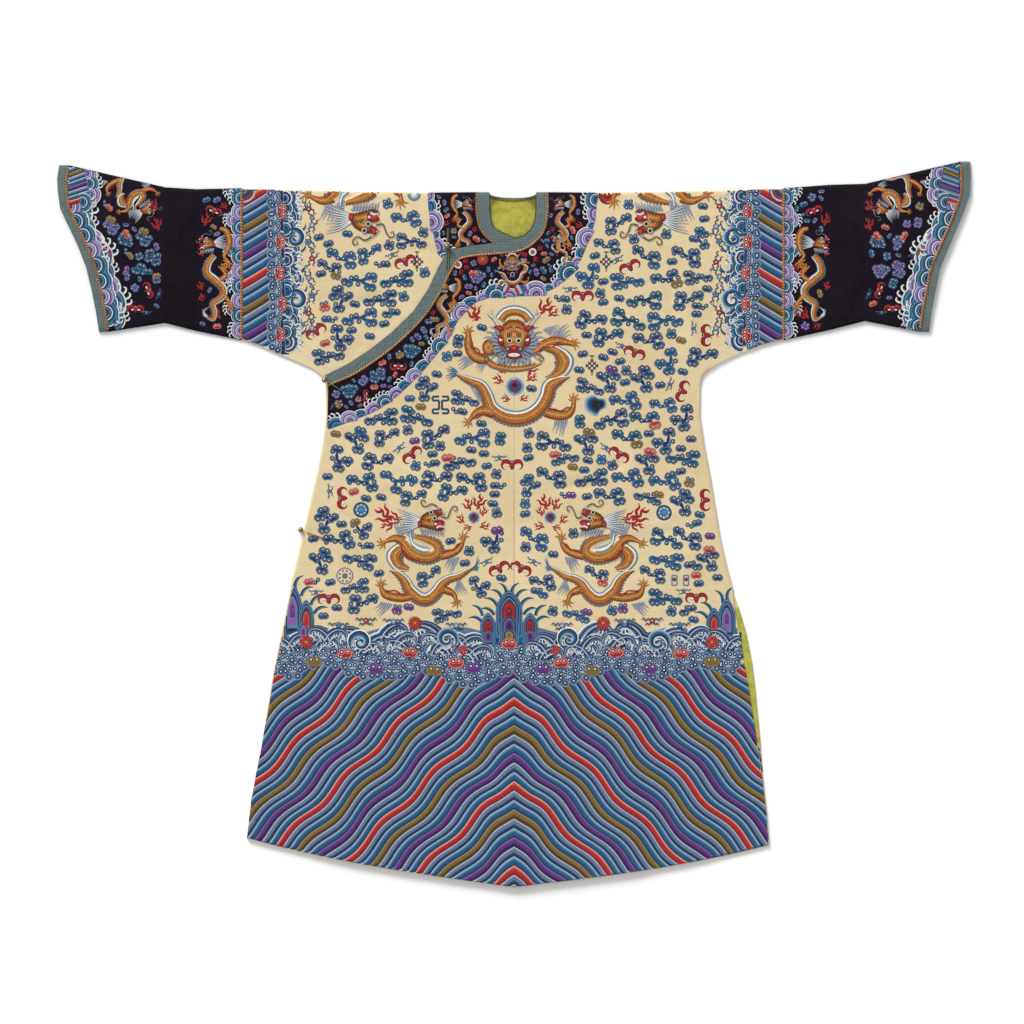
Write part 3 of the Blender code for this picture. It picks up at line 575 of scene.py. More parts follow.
class Motif:
    """Stitched shapes in millimetres: points, lifts, thread places, faces and tones."""

    def __init__(self):
        self.parts = []

    def grid(self, points, lift, thread, tones):
        """A grid of stitches: points by row and column, and a tone for each cell."""
        rows, cols = points.shape[:2]
        index = np.arange(rows * cols).reshape(rows, cols)
        faces = np.stack([index[:-1, :-1], index[:-1, 1:], index[1:, 1:], index[1:, :-1]], -1)
        tones = np.broadcast_to(tones, (rows - 1, cols - 1))
        self.parts.append((points.reshape(-1, 2), np.broadcast_to(lift, (rows, cols)).ravel(),
                           thread.reshape(-1, 2), faces.reshape(-1, 4), tones.ravel()))
        return self

    def ribbon(self, knots, width, tones, lift=BASE_LIFT, dome=DOME, count=None):
        """A strip along a curve. width is one value or several along it, and tones run across it."""
        knots = np.asarray(knots, dtype=float)
        count = count or 3 * len(knots) + 1
        path = spline(knots, count)
        widths = np.interp(np.linspace(0, 1, count), np.linspace(0, 1, np.size(width)),
                           np.atleast_1d(width)) / 2
        side = sideways(np.gradient(path, axis=0))
        across = np.linspace(1, -1, max(len(tones), 2) + 1)
        points = path[:, None] + side[:, None] * (across[None, :] * widths[:, None])[..., None]
        thread = np.stack(np.broadcast_arrays(across[None, :] * widths[:, None],
                                              lengths(path)[:, None]), -1)
        cells = [TONE[t] for t in tones] if len(tones) > 1 else [TONE[tones[0]]] * 2
        return self.grid(points, lift + dome * (1 - across ** 2), thread, np.array(cells)[None, :])

    def patch(self, outline, tones, rings=None, lift=BASE_LIFT, dome=DOME, count=16, centre=None):
        """A filled shape in rings of tones, from its edge inward."""
        path = closed(outline, count)
        centre = path[:-1].mean(axis=0) if centre is None else np.array(centre, dtype=float)
        shares = np.array(rings if rings else np.linspace(1, CORE, len(tones) + 1))
        points = centre + (path - centre)[None] * shares[:, None, None]
        reach = np.hypot(*(path - centre).T)
        thread = np.stack(np.broadcast_arrays(reach[None] * shares[:, None], lengths(path)[None]), -1)
        cells = np.array([TONE[t] for t in tones])[:, None]
        return self.grid(points, (lift + dome * (1 - shares ** 2))[:, None], thread, cells)

    def disc(self, x, y, radius, tones, rings=None, lift=BASE_LIFT, dome=DOME, count=10, squash=1.0):
        """A round patch, or an oval one."""
        turn = np.radians(np.arange(0, 360, 45))
        outline = np.stack([x + radius * np.cos(turn), y + radius * squash * np.sin(turn)], -1)
        return self.patch(outline, tones, rings, lift=lift, dome=dome, count=count, centre=(x, y))

    def add(self, other, x=0.0, y=0.0, turn=0.0, size=1.0, flip=1, swap=(), up=0.0):
        """Another motif, placed, turned in degrees, mirrored, recoloured or raised."""
        angle = math.radians(turn)
        spin = np.array([[math.cos(angle), math.sin(angle)], [-math.sin(angle), math.cos(angle)]])
        shift = np.array([x, y])
        change = np.arange(len(TONE))
        for old, new in dict(swap).items():
            change[TONE[old]] = TONE[new]
        for points, lift, thread, faces, tones in other.parts:
            moved = (points * (size * flip, size)) @ spin + shift
            self.parts.append((moved, lift + up, thread * size, faces, change[tones]))
        return self

    def arrays(self):
        """All the parts as single arrays, in metres."""
        shifts = np.cumsum([0] + [len(part[0]) for part in self.parts[:-1]])
        points, lift, thread, faces, tones = zip(*self.parts)
        faces = np.concatenate([f + s for f, s in zip(faces, shifts)])
        return (np.concatenate(points) * MM, np.concatenate(lift) * MM,
                np.concatenate(thread) * MM, faces, np.concatenate(tones))


# ----------------------------------------------------------------- motifs
REDS = ("crimson", "red", "coral")
GOLDS = ("amber", "gold", "straw")
GREYS = ("slate", "mist", "ash")
RED_LINE = ("crimson", "red")
RED_FLAME = ("crimson", "red", "red")
DARK_LINE = ("umber", "black")
TEAL_LINE = ("teal", "sky")
WHITE_LINE = ("white", "mist")
PLUM_LINE = ("navy", "plum")
TONE_PAIR = ("teal", "lilac")


def mirrored(points):
    """A closed outline from its right half, top to bottom, and the half's mirror."""
    return list(points) + [(-x, y) for x, y in points[::-1] if abs(x) > CORE]


HEAD_OUTLINE = mirrored(((0, 3), (7, 5), (12.5, 2.6), (13.5, -3), (9.5, -8.4), (4, -9.4), (0, -8)))
SWAP_FROM = ("light", "slate", "mid", "blue", "navy", "night")


def swap_to(*names):
    """Other tones for a cloud, in the order of its own."""
    return dict(zip(SWAP_FROM, names))


BLUE_TO_RED = swap_to("pink", "coral", "red", "coral", "red", "crimson")
BLUE_TO_PURPLE = swap_to("orchid", "purple", "purple", "orchid", "purple", "plum")
BLUE_TO_OLIVE = swap_to("sand", "olive", "olive", "sand", "olive", "umber")
BLUE_TO_TEAL = swap_to("sky", "deep", "teal", "deep", "deep", "navy")
BLUE_TO_LILAC = swap_to("lilac", "purple", "lilac", "purple", "blue", "night")
BLUE_TO_BRIGHT = swap_to("sky", "mid", "mid", "teal", "blue", "navy")


def eye(x, y):
    """A white dot in a dark ring."""
    return Motif().disc(x, y, 3.3, ("night", "night", "white"), (1, 0.72, 0.50, CORE), lift=0.6,
                        dome=0.15, count=8)


EYE_TONES = ("navy", "light", "night", "white")
EYE_RINGS = (1, 0.82, 0.66, 0.27, CORE)


def cloud_head():
    """A cloud's ruyi head: two ringed eyes over a scalloped skirt with a pale line in it."""
    head = Motif().patch(HEAD_OUTLINE, ("navy", "light", "mid", "navy"), (1, 0.90, 0.80, 0.56, CORE),
                         count=14)
    for x in (-4.9, 4.9):
        head.disc(x, 2, 5.8, EYE_TONES, EYE_RINGS, lift=0.45, dome=0.2, count=8)
    return head


def cloud_curl():
    """A single round curl with one eye."""
    return Motif().disc(0, 0, 6.4, EYE_TONES, EYE_RINGS, lift=BASE_LIFT, dome=0.3, count=8)


def claw():
    """One hook of foam."""
    return Motif().ribbon(((0, -2), (1, 2), (4, 4), (6, 2.5)), (2.2, 2.6, 2.2, 1.2),
                          ("white", "white", "light"), lift=0.3, dome=0.25, count=7)


HEAD = cloud_head()
CURL = cloud_curl()
CLAW = claw()


# Clouds: heads as (x, y, turn), curls as (x, y), and navy stems through points
CLOUDS = (
    {"heads": ((-26, 13, 8), (25, 8, -12), (-2, -17, 180)), "curls": ((-30, 3), (-7, 9), (-12, -2), (10, 1)),
     "stems": (((-24, 9), (-12, 5), (2, 1), (14, 3), (22, 5)), ((2, 1), (3, -6), (-1, -12)))},
    {"heads": ((-10, 19, 0), (14, 3, 10), (2, -18, 185)), "curls": ((-19, 12), (-16, -2), (-6, -7), (19, -6)),
     "stems": (((-10, 13), (-8, 4), (-4, -4), (3, -9), (3, -14)), ((-4, -4), (6, -3), (12, 0)))},
    {"heads": ((0, 20, 4), (-8, 6, 180), (16, 3, 20), (-4, -19, 178)), "curls": ((9, 9), (-9, -9)),
     "stems": (((1, 15), (2, 8), (8, 2), (4, -6), (-2, -13)), ((2, 8), (-4, 6)))},
    {"heads": ((-24, -9, 172), (20, 13, 12), (22, -10, 186)), "curls": ((-18, 2), (-8, 5), (-2, -8), (30, 6)),
     "stems": (((-22, -5), (-10, 0), (2, 0), (12, 6), (18, 10)), ((2, 0), (12, -4), (20, -6)))},
    {"heads": ((-20, 12, 0), (23, -4, 184), (-18, -8, 180)), "curls": ((-9, 10), (3, 6), (12, 4), (-2, -9)),
     "stems": (((-20, 8), (-13, 1), (-2, -1), (10, -1), (20, -1)), ((-13, 1), (-16, -5)))},
    {"heads": ((-17, -12, 178), (-14, 9, -8), (18, 14, 14)), "curls": ((-3, 1), (8, 2), (26, 7), (-26, 3)),
     "stems": (((-16, -8), (-8, -1), (4, 0), (12, 6), (16, 10)), ((-8, -1), (-13, 5)))},
    {"heads": ((17, -13, 182), (13, 11, 6), (-19, 11, -10)), "curls": ((3, -2), (-9, 1), (-27, 4), (24, -1)),
     "stems": (((16, -9), (8, -2), (-4, 2), (-16, 8)), ((8, -2), (12, 6)))},
)
COMPACT = (
    {"heads": ((-10, 8, 10), (11, 9, -8), (0, -11, 182)), "curls": ((0, 14), (-14, -4), (13, -3)),
     "stems": (((-8, 6), (0, 0), (9, 6)), ((0, 0), (0, -8)))},
    {"heads": ((-3, 15, 0), (11, 2, 14), (-7, -4, 176), (8, -15, 184)), "curls": ((-12, 8), (17, -8)),
     "stems": (((-3, 12), (1, 4), (-5, -3)), ((1, 4), (4, -6), (8, -12)))},
    {"heads": ((-14, 2, -10), (3, 10, 6), (14, -6, 186)), "curls": ((-4, -7), (13, 5)),
     "stems": (((-12, 2), (0, 3), (12, -4)), ((0, 3), (2, 8)))},
)
STEM_WIDTH = (3.0, 7.5, 6.5, 7.5, 3.0)
CURL_SIZE = 0.88
HEAD_SPREAD = 1.08        # how much farther out the heads stand than the plans say


def cloud(plan, head_swap):
    """A cloud: heads and curls strung on wavy stems. One head may have another colour."""
    made = Motif()
    for stem in plan["stems"]:
        made.ribbon(stem, STEM_WIDTH, ("blue", "navy", "mid"), lift=0.2, dome=0.25, count=9)
    for x, y in plan["curls"]:
        made.add(CURL, x, y, size=CURL_SIZE, up=0.05)
    for number, (x, y, turn) in enumerate(plan["heads"]):
        made.add(HEAD, x * HEAD_SPREAD, y * HEAD_SPREAD, turn, swap=() if number else head_swap, up=0.4)
    return made


def bat():
    """A red bat with curled wings and pale wing ribs."""
    made = Motif()
    for side in (-1, 1):
        wing = flipped(side, ((2, 1), (8, 6), (15, 6), (20, 0), (18, -7), (13, -9)))
        made.ribbon(wing, (4, 9, 8, 4.5, 2.5, 0.8), ("crimson", "red", "crimson"), count=11)
        rib = flipped(side, ((5, -1), (9, -3), (12, -1)))
        made.ribbon(rib, (4, 4, 2), ("mist", "white"), lift=0.12, dome=0.15, count=5)
    body = mirrored(((0, 9), (4.5, 6), (5.5, 0), (3.5, -7), (0, -10)))
    made.patch(body, RED_FLAME, lift=0.3, dome=0.4, count=12)
    for side in (-1, 1):
        made.add(eye(1.6 * side, 5.2), 0.6 * side, 2, size=0.6)
    return made


def ornament(kind):
    """A small knotted ornament with ribbons: ring, lozenge or leaf in the middle."""
    made = Motif()
    for side in (-1, 1):
        made.ribbon(flipped(side, ((3, 0), (8, 4), (12, 0), (16, 5), (20, 1))), (3.0, 2.6, 3.0, 2.6, 1.2),
                    ("navy", "slate"), count=11)
        made.ribbon(flipped(side, ((2, -3), (6, -7), (10, -5), (13, -9))), (2.6, 2.6, 1.2),
                    ("navy", "mid"), count=8)
    if kind == "ring":
        return made.disc(0, 0, 5.5, ("blue", "pale", "teal", "white"), lift=0.3)
    if kind == "leaf":
        return made.patch(mirrored(((0, 7), (4, 4), (5, -1), (0, -6))), ("blue", "light", "mid"), lift=0.3)
    return made.patch(((0, 6), (5, 0), (0, -6), (-5, 0)), ("crimson", "red", "pink"), lift=0.3, count=12)


FLAME_RUNS = (
    ((0, 0), (2, 6), (-2, 12), (3, 18), (2, 26)),
    ((1, 9), (7, 12), (8, 18), (13, 22)),
    ((-1, 5), (-7, 8), (-9, 15), (-14, 18)),
    ((2, 18), (-3, 22), (-3, 28)),
)


def flame():
    """A branching red flame."""
    made = Motif()
    for run in FLAME_RUNS:
        made.ribbon(run, (3.4, 4.2, 3.0, 0.5), RED_FLAME, lift=0.15, dome=0.25)
    return made


def flames(*rows):
    """Flames, each as x, height, turn and size."""
    made = Motif()
    for x, y, turn, size in rows:
        made.add(flame(), x, y, turn, size=size)
    return made


def frond(side=1):
    """A curved blade of spray with a pale inner edge."""
    return Motif().ribbon(flipped(side, ((0, 0), (3, 7), (9, 12), (17, 13))), (4.5, 5, 3.8, 0.6),
                          ("navy", "teal", "sky"), lift=0.15, dome=0.25, count=9)


def arch_outline(half, height, point=0.30):
    """Outline of a rock face: straight sides and a softly pointed top."""
    top = height * (1 - point)
    return ((half, 0), (half, top * 0.5), (half * 0.97, top * 0.96), (half * 0.50, height * 0.90),
            (0, height), (-half * 0.50, height * 0.90), (-half * 0.97, top * 0.96), (-half, top * 0.5),
            (-half, 0), (-half * 0.5, -1), (0, -1), (half * 0.5, -1))


ROCK_TONES = ("mid", "sky", "navy", "slate", "blue", "navy", "sky", "teal", "navy")


def rock(half, height, core, bands):
    """A rock: pointed arches one inside another round a bright core."""
    rings = list(np.linspace(1, 0.44, bands + 1)) + [0.22, CORE]
    return Motif().patch(arch_outline(half, height), ROCK_TONES[:bands] + core, rings, lift=0.2, dome=0.5,
                         count=28, centre=(0, height * 0.58))


CREST_LINES = ("white", "sky", "navy", "mid", "mist", "navy", "blue", "slate", "navy")


CREST_CLAWS = ((-12, -9, 150), (-7, -4, 165), (-2, -1, 180), (4, 0, 195), (9, -1, 215), (12, -5, 240))


def crest(side=1, inner="mid"):
    """A breaking wave: thin bands that rise and curl over, with foam fingers under the lip."""
    tones = tuple(inner if tone == "mid" else tone for tone in CREST_LINES)
    arc = flipped(side, ((-26, -13), (-17, 0), (-4, 8), (9, 8), (17, 0), (16, -8), (10, -11)))
    made = Motif().ribbon(arc, (22, 20, 16, 12, 9, 6, 2), tones, lift=0.2, dome=0.5, count=16)
    under = flipped(side, ((-14, -14), (-5, -5), (5, -3), (10, -7)))
    made.ribbon(under, (12, 9, 6, 2), ("slate", "blue", "navy"), lift=0.1, dome=0.3, count=7)
    for x, y, turn in CREST_CLAWS:
        made.add(CLAW, side * x, y, side * turn, size=0.95, flip=side, up=0.35)
    return made


CURL_TURNS = (-40, 430)   # degrees, from its outer end to the hook
CURL_RADII = (20, 3.5)
CURL_KNOTS = 15


def big_curl(side=1):
    """A round roller that winds in to a white hook."""
    turn = np.radians(np.linspace(*CURL_TURNS, CURL_KNOTS))
    radius = np.linspace(*CURL_RADII, CURL_KNOTS)
    run = np.stack([side * radius * np.cos(turn), radius * np.sin(turn)], -1)
    return Motif().ribbon(run, (3, 13, 15, 13, 10, 8, 6, 3), ("white", "navy", "blue", "teal", "sky", "pale"),
                          lift=0.25, dome=0.6, count=34)


SCALLOP = ((-18, -2), (-15, 5), (-8, 10), (1, 12.5), (10, 11), (17, 5), (19, -2), (9, -3), (-9, -3))
SCALLOP_TONES = {"teal": ("white", "teal", "sky", "teal", "deep", "sky", "teal"),
                 "lilac": ("white", "lilac", "mist", "lilac", "purple", "mist", "lilac")}
SCALLOP_RINGS = (1, 0.91, 0.80, 0.71, 0.58, 0.40, 0.30, CORE)


def scallop(tone, claws=True):
    """A wave scale: a striped lens with a white edge, and foam claws on it."""
    made = Motif().patch(SCALLOP, SCALLOP_TONES[tone], SCALLOP_RINGS, lift=0.2, dome=0.4, count=20,
                         centre=(0, -2))
    if claws:
        for x, y, turn in ((-9, 11, 25), (-2, 14, 5), (5, 14, -15)):
            made.add(CLAW, x, y, turn, up=0.1)
    return made


SHELL = ((-20, -3), (-19, 8), (-12, 17), (0, 21), (12, 18), (20, 9), (21, -3), (9, -4), (-9, -4))
SHELL_TONES = {"teal": ("white", "teal", "sky", "teal", "deep", "white", "teal", "sky", "deep", "teal"),
               "lilac": ("white", "lilac", "mist", "lilac", "purple", "white", "lilac", "mist", "purple",
                         "lilac"),
               "blue": ("white", "mid", "navy", "slate", "white", "blue", "navy", "mist", "mid", "navy")}
SHELL_RINGS = (1, 0.93, 0.82, 0.76, 0.64, 0.56, 0.50, 0.38, 0.32, 0.18, CORE)


def shell_wave(tone, claws=True):
    """A tall wave scale of the cuffs, with many lines, and a spray of foam claws at its head."""
    made = Motif().patch(SHELL, SHELL_TONES[tone], SHELL_RINGS, lift=0.2, dome=0.5, count=20, centre=(3, -3))
    if claws:
        for x, y, turn in ((-10, 19, 40), (-3, 22, 20), (5, 22, 0), (12, 19, -25)):
            made.add(CLAW, x, y, turn, size=1.25, up=0.1)
    return made


def along(path, pitch):
    """Places and turns at even steps along a path, as x, y and degrees."""
    path = spline(path, 30 * len(path))
    far = lengths(path)
    stops = np.arange(pitch / 2, far[-1], pitch)
    x, y = np.interp(stops, far, path[:, 0]), np.interp(stops, far, path[:, 1])
    run = np.gradient(path[:, :2], axis=0)
    turn = np.degrees(np.unwrap(np.arctan2(run[:, 1], run[:, 0])))
    return zip(x, y, np.interp(stops, far, turn))


ROPE_TWIST = 2.0          # millimetres, one strand along the cord
ROPE_STEPS = 400
ROPE_SLANT = 0.35
ROPE_ROUND = 0.9
ROPE_TONES = ("straw", "gold", "amber")


def rope(path, width=3.6, up=0.5):
    """A laid gold cord along a path, in short twists of light and dark."""
    path = spline(path, ROPE_STEPS)
    far = lengths(path)
    stops = np.arange(0, far[-1], ROPE_TWIST)
    line = np.stack([np.interp(stops, far, path[:, 0]), np.interp(stops, far, path[:, 1])], -1)
    run = np.gradient(line, axis=0)
    side = sideways(run)
    across = np.linspace(1, -1, 5)
    slant = run[:, None] * (ROPE_SLANT * across)[None, :, None]
    points = line[:, None] + side[:, None] * (across * width / 2)[None, :, None] + slant
    thread = np.stack(np.broadcast_arrays(across[None] * width, stops[:, None]), -1)
    tones = np.array([TONE[ROPE_TONES[k % 3]] for k in range(len(stops) - 1)])[:, None]
    return Motif().grid(points, up + ROPE_ROUND * (1 - across ** 2), thread, tones)


def disc_emblem(tones):
    """A round emblem with a toothed ring."""
    made = Motif().disc(0, 0, 16, tones, (1, 0.86, 0.74, 0.5, 0.34, CORE), count=20)
    for turn in range(0, 360, 45):
        made.disc(*polar(9.5, turn), 2.2, ("white", tones[1]), lift=0.4, dome=0.2, count=6)
    return made


def strokes(runs, width, tones):
    """Plain strokes along runs of points."""
    made = Motif()
    for run in runs:
        made.ribbon(run, width, tones, lift=0.2, dome=0.25, count=2 * len(run) + 1)
    return made


# ---------------------------------------------------------------- dragons
SCALED = ("ash", "amber", "gold", "gold", "straw", "gold", "gold", "white", "sky")
LIMB = ("amber", "gold", "straw", "gold", "amber")
SPIKE_GAP = 4.2           # millimetres from spike to spike
FINGERS = ((-78, 13), (-38, 15), (0, 16), (38, 15), (80, 13))     # a foot's claws: angle and reach
TUFT_REACH = (15, 20, 24, 22, 17, 12)
VEIN = ((0, -2), (0.3, 3), (0.55, -3), (0.8, 2), (1, -1))         # share along a leg, and to its side
MANE_LOCKS = 26
MANE_LAYERS = ((1.0, 0.40, 0.0), (0.78, 0.30, 0.5))               # size, reach and stagger of its locks
MANE_TONES = (GREYS, ("ash", "mist", "slate"))
TAIL_HAIRS = 7
EYE_BALL = ("umber", "white", "black", "black")


def body_part(rows, belly_right=True, tones=SCALED, up=0.0):
    """A scaled length of dragon along rows of x, y and width, with spikes down its back."""
    rows = np.array(rows, dtype=float)
    made = Motif().ribbon(rows[:, :2], rows[:, 2], tones if belly_right else tones[::-1],
                          lift=0.3 + up, dome=1.3, count=4 * len(rows))
    if "ash" not in tones:
        return made
    path = spline(rows, 60)
    side = sideways(np.gradient(path[:, :2], axis=0))
    edge = path[:, :2] + side * path[:, 2:] * (0.5 if belly_right else -0.5)
    gone = 0.0
    for place, far in zip(edge, lengths(edge)):
        if far >= gone:
            made.disc(*place, 1.9, ("ash", "black"), lift=0.25 + up, dome=0.4, count=5)
            gone = far + SPIKE_GAP
    return made


def foot(turn):
    """A five-clawed foot, claws up."""
    made = Motif()
    for angle, reach in FINGERS:
        a = math.radians(angle)
        tip = (reach * math.sin(a), reach * math.cos(a))
        middle = (0.55 * tip[0] - 1.4 * math.cos(a), 0.55 * tip[1] + 1.4 * math.sin(a))
        made.ribbon(((0, 0), middle, tip), (4.2, 3.4, 0.8), GOLDS, lift=0.5, dome=0.5, count=7)
    made.disc(0, 0, 4.6, GOLDS, lift=0.6, dome=0.7, count=10)
    return Motif().add(made, turn=turn)


def limb(rows, foot_turn, vein=True):
    """A leg along rows of x, y and width, with its foot at the end and a red flame on it."""
    rows = np.array(rows, dtype=float)
    made = Motif().ribbon(rows[:, :2], rows[:, 2], LIMB, lift=0.5, dome=1.1, count=4 * len(rows))
    made.add(foot(foot_turn), *rows[-1, :2], up=0.2)
    if vein:
        start, end = rows[0, :2], rows[-2, :2]
        run = end - start
        cross = np.array((-run[1], run[0])) / np.hypot(*run)
        knots = [start + run * s + cross * c for s, c in VEIN]
        made.ribbon(knots, (1, 3.2, 2.4, 3.2, 0.8), RED_LINE, lift=1.5, dome=0.3, count=12)
    return made


def tuft(turn, size):
    """A tuft of grey hair that sweeps up and to one side."""
    made = Motif()
    for k, reach in enumerate(TUFT_REACH):
        x = 3.2 * (k - 2.5)
        made.ribbon(((x, 0), (x + 3, reach * 0.5), (x + 9, reach)), (3.4, 2.8, 0.5), MANE_TONES[1],
                    lift=0.2, dome=0.35, count=6)
    return Motif().add(made, turn=turn, size=size)


def tufts(*rows):
    """Tufts, each as x, height, turn and size."""
    made = Motif()
    for x, y, turn, size in rows:
        made.add(tuft(turn, size), x, y)
    return made


def mane(rx, ry, x, y):
    """A ring of curled locks round a face."""
    squash = ry / rx
    made = Motif().disc(x, y, rx * 0.86, ("slate", "ash", "slate"), lift=0.25, dome=0.3, count=24,
                        squash=squash)
    for layer, (share, length, stagger) in enumerate(MANE_LAYERS):
        for k in range(MANE_LOCKS):
            a = 2 * math.pi * (k + stagger) / MANE_LOCKS
            at = np.array((x + rx * share * 0.72 * math.cos(a), y + ry * share * 0.72 * math.sin(a)))
            out = np.array((math.cos(a), math.sin(a) * ry / rx))
            turn = np.array((-out[1], out[0])) * (1 if math.cos(a) > 0 else -1)
            reach = length * rx
            knots = [at, at + out * reach * 0.5 + turn * 2.2, at + out * reach - turn * 1.5]
            made.ribbon(knots, (5.5, 4.5, 0.8), MANE_TONES[k % 2], lift=0.4 + 0.2 * layer, dome=0.4, count=6)
    return made


def pearl(radius):
    """A flaming pearl: blue rings with a red spiral."""
    made = Motif().disc(0, 0, radius, ("pale", "light", "mid", "blue", "navy"),
                        (1, 0.86, 0.70, 0.52, 0.34, CORE), lift=0.2, dome=0.6, count=24)
    turn = np.radians(np.linspace(-160, 200, 9))
    run = np.stack([0.36 * radius * np.cos(turn), 0.36 * radius * np.sin(turn) + 0.1 * radius], -1)
    run = np.vstack([run, [(0.1 * radius, -0.3 * radius), (-0.15 * radius, -radius)]])
    return made.ribbon(run, (1.5, 4, 4, 3, 2), RED_LINE, lift=0.9, dome=0.3, count=24)


def flaming_pearl(radius, *flame_rows):
    """A pearl with flames, each as x, height, turn and size."""
    return Motif().add(pearl(radius)).add(flames(*flame_rows))


def horn(side):
    """A white antler edged in blue."""
    made = Motif()
    for run in (((0, 0), (9, 13), (14, 22), (17, 38)), ((12, 18), (21, 26), (22, 31))):
        made.ribbon(flipped(side, run), (6, 5, 1), ("teal", "white", "mist"), lift=1.2, dome=0.4, count=9)
    return made


def whisker(knots):
    """A long feeler."""
    return Motif().ribbon(knots, (3.2, 2.6, 2.2, 1.6), ("ash", "umber"), lift=1.5, dome=0.4,
                          count=5 * len(knots))


FACE_X = 2                # the middle of the facing head
FACE = ((0, 62), (14, 60), (26, 48), (33, 34), (30, 18), (22, 6), (14, -4), (0, -8))
FEELER = ((20, 0), (36, -8), (50, -10), (60, -16), (56, -24), (50, -18), (56, -16))
EAR = ((20, 44), (30, 50), (42, 48), (34, 42), (24, 39))
CHEEK = ((20, 14), (26, 30), (34, 24), (31, 12), (24, 8))
FANG = ((23, 20), (30, 24), (29, 18))
BEARD_LOCKS = 9


def front_head():
    """The facing head, with mane, antlers, feelers and an open mouth."""
    made = mane(58, 46, FACE_X, 14)
    for side in (-1, 1):
        made.add(horn(side), FACE_X + side * 30, 46)
        made.add(whisker(flipped(side, FEELER, FACE_X)))
    made.patch(flipped(1, mirrored(FACE), FACE_X), ("amber", "gold", "straw", "gold", "straw"), lift=0.8,
               dome=1.0, count=32)
    for side in (-1, 1):
        made.patch(flipped(side, EAR, FACE_X), REDS, lift=1.8, dome=0.4, count=14)
        made.patch(flipped(side, CHEEK, FACE_X), RED_LINE, lift=1.8, dome=0.2, count=14)
        made.patch(flipped(side, FANG, FACE_X), ("white", "white"), lift=2.1, dome=0.2, count=9)
        made.disc(FACE_X + side * 9, 19, 6.4, EYE_BALL, (1, 0.84, 0.60, 0.3, CORE), lift=1.9, dome=0.5,
                  count=14)
        for shift in (6, 10, 14):
            brow = flipped(side, ((shift, 27), (shift - 1, 36)), FACE_X)
            made.ribbon(brow, (2.2, 1), DARK_LINE, lift=1.9, dome=0.2, count=4)
    made.ribbon(((-14, 42), (-5, 47), (2, 44), (9, 47), (18, 42)), (2, 3, 2, 3, 2), ("amber", "umber"),
                lift=1.9)
    made.disc(FACE_X, 4, 11, REDS, lift=2.0, dome=0.8, count=16, squash=0.58)
    for side in (-1, 1):
        made.disc(FACE_X + side * 13, 2, 4.6, ("blue", "pale"), lift=1.9, dome=0.3, count=10)
    made.disc(FACE_X, -11, 17, RED_FLAME, lift=1.8, dome=0.4, count=20, squash=0.42)
    made.disc(FACE_X, -10, 12, ("white", "white", "mist"), lift=2.2, dome=0.3, count=16, squash=0.30)
    for k in range(BEARD_LOCKS):
        x = FACE_X + 7 * (k - 4)
        made.ribbon(((x, -19), (x + (k - 4) * 0.8, -26), (x + (k - 4) * 2.2, -31)), (5, 4.5, 1), GREYS,
                    lift=1.5, dome=0.5, count=6)
    return made


def front_dragon():
    """The large facing dragon over its flaming pearl."""
    made = Motif()
    made.ribbon(((-28, 62), (-16, 76), (3, 81), (22, 76), (35, 62)), 21,
                ("sky", "white", "gold", "straw", "gold", "amber"), lift=0.3, dome=0.9, count=18)
    made.add(tufts((-88, -16, 160, 1.3), (-62, -92, 70, 1.4), (98, -140, 200, 1.5), (88, 24, -20, 1.5),
                   (-62, -22, 190, 1.0), (70, 34, -35, 1.2)))
    made.add(body_part(((66, 6, 14), (90, -2, 22), (105, -21, 40), (99, -41, 32), (82, -53, 14),
                        (68, -57, 6)), belly_right=False))
    made.add(body_part(((114, -55, 2), (94, -61, 20), (75, -73, 31), (69, -94, 31), (55, -118, 31),
                        (31, -135, 32), (4, -140, 33), (-24, -133, 31), (-45, -116, 29), (-53, -94, 27),
                        (-65, -73, 24), (-84, -64, 18), (-102, -56, 12), (-117, -48, 4)), up=0.2))
    made.ribbon(((-60, -16), (-41, -31), (-14, -38), (6, -39), (31, -36), (58, -28)),
                (14, 14, 13, 13, 12, 3), ("amber", "gold", "straw", "gold", "ash"), lift=0.3, dome=0.9,
                count=20)
    made.add(limb(((-52, -18, 22), (-72, -16, 22), (-86, -4, 20), (-91, 14, 18), (-91, 36, 9)), 5))
    made.disc(-50, 5, 13, ("amber", "gold", "straw", "gold"), lift=0.9, dome=0.8, count=18, squash=1.3)
    made.add(limb(((44, -4, 14), (62, 10, 20), (84, 18, 20), (104, 17, 15), (122, 12, 8)), -80))
    made.add(limb(((-31, -130, 26), (-55, -123, 22), (-73, -127, 15), (-85, -138, 9), (-90, -145, 6)), 130))
    made.add(limb(((66, -126, 22), (92, -133, 21), (112, -131, 17), (122, -118, 11), (124, -102, 7)), 0))
    for k in range(TAIL_HAIRS):
        tip = (-132 - 3 * (k % 3), -48 + 5 * (k - 3))
        made.ribbon(((-112, -50), (-118, -46 + 2 * (k - 3)), tip), (4, 3.5, 0.8), TEAL_LINE, lift=0.5,
                    dome=0.3, count=7)
    made.add(front_head(), up=0.3)
    made.add(flaming_pearl(19, (-24, 8, 60, 0.9), (24, 12, -60, 0.9), (-20, 26, 30, 0.9), (26, 26, -40, 1.0),
                           (-10, -28, 70, 0.7), (10, -28, -70, 0.7)), 4, -74)
    return made.add(flames((-76, 60, 10, 1.3), (-66, 64, 70, 0.8), (56, 74, -35, 1.4), (72, 70, -60, 0.9)))


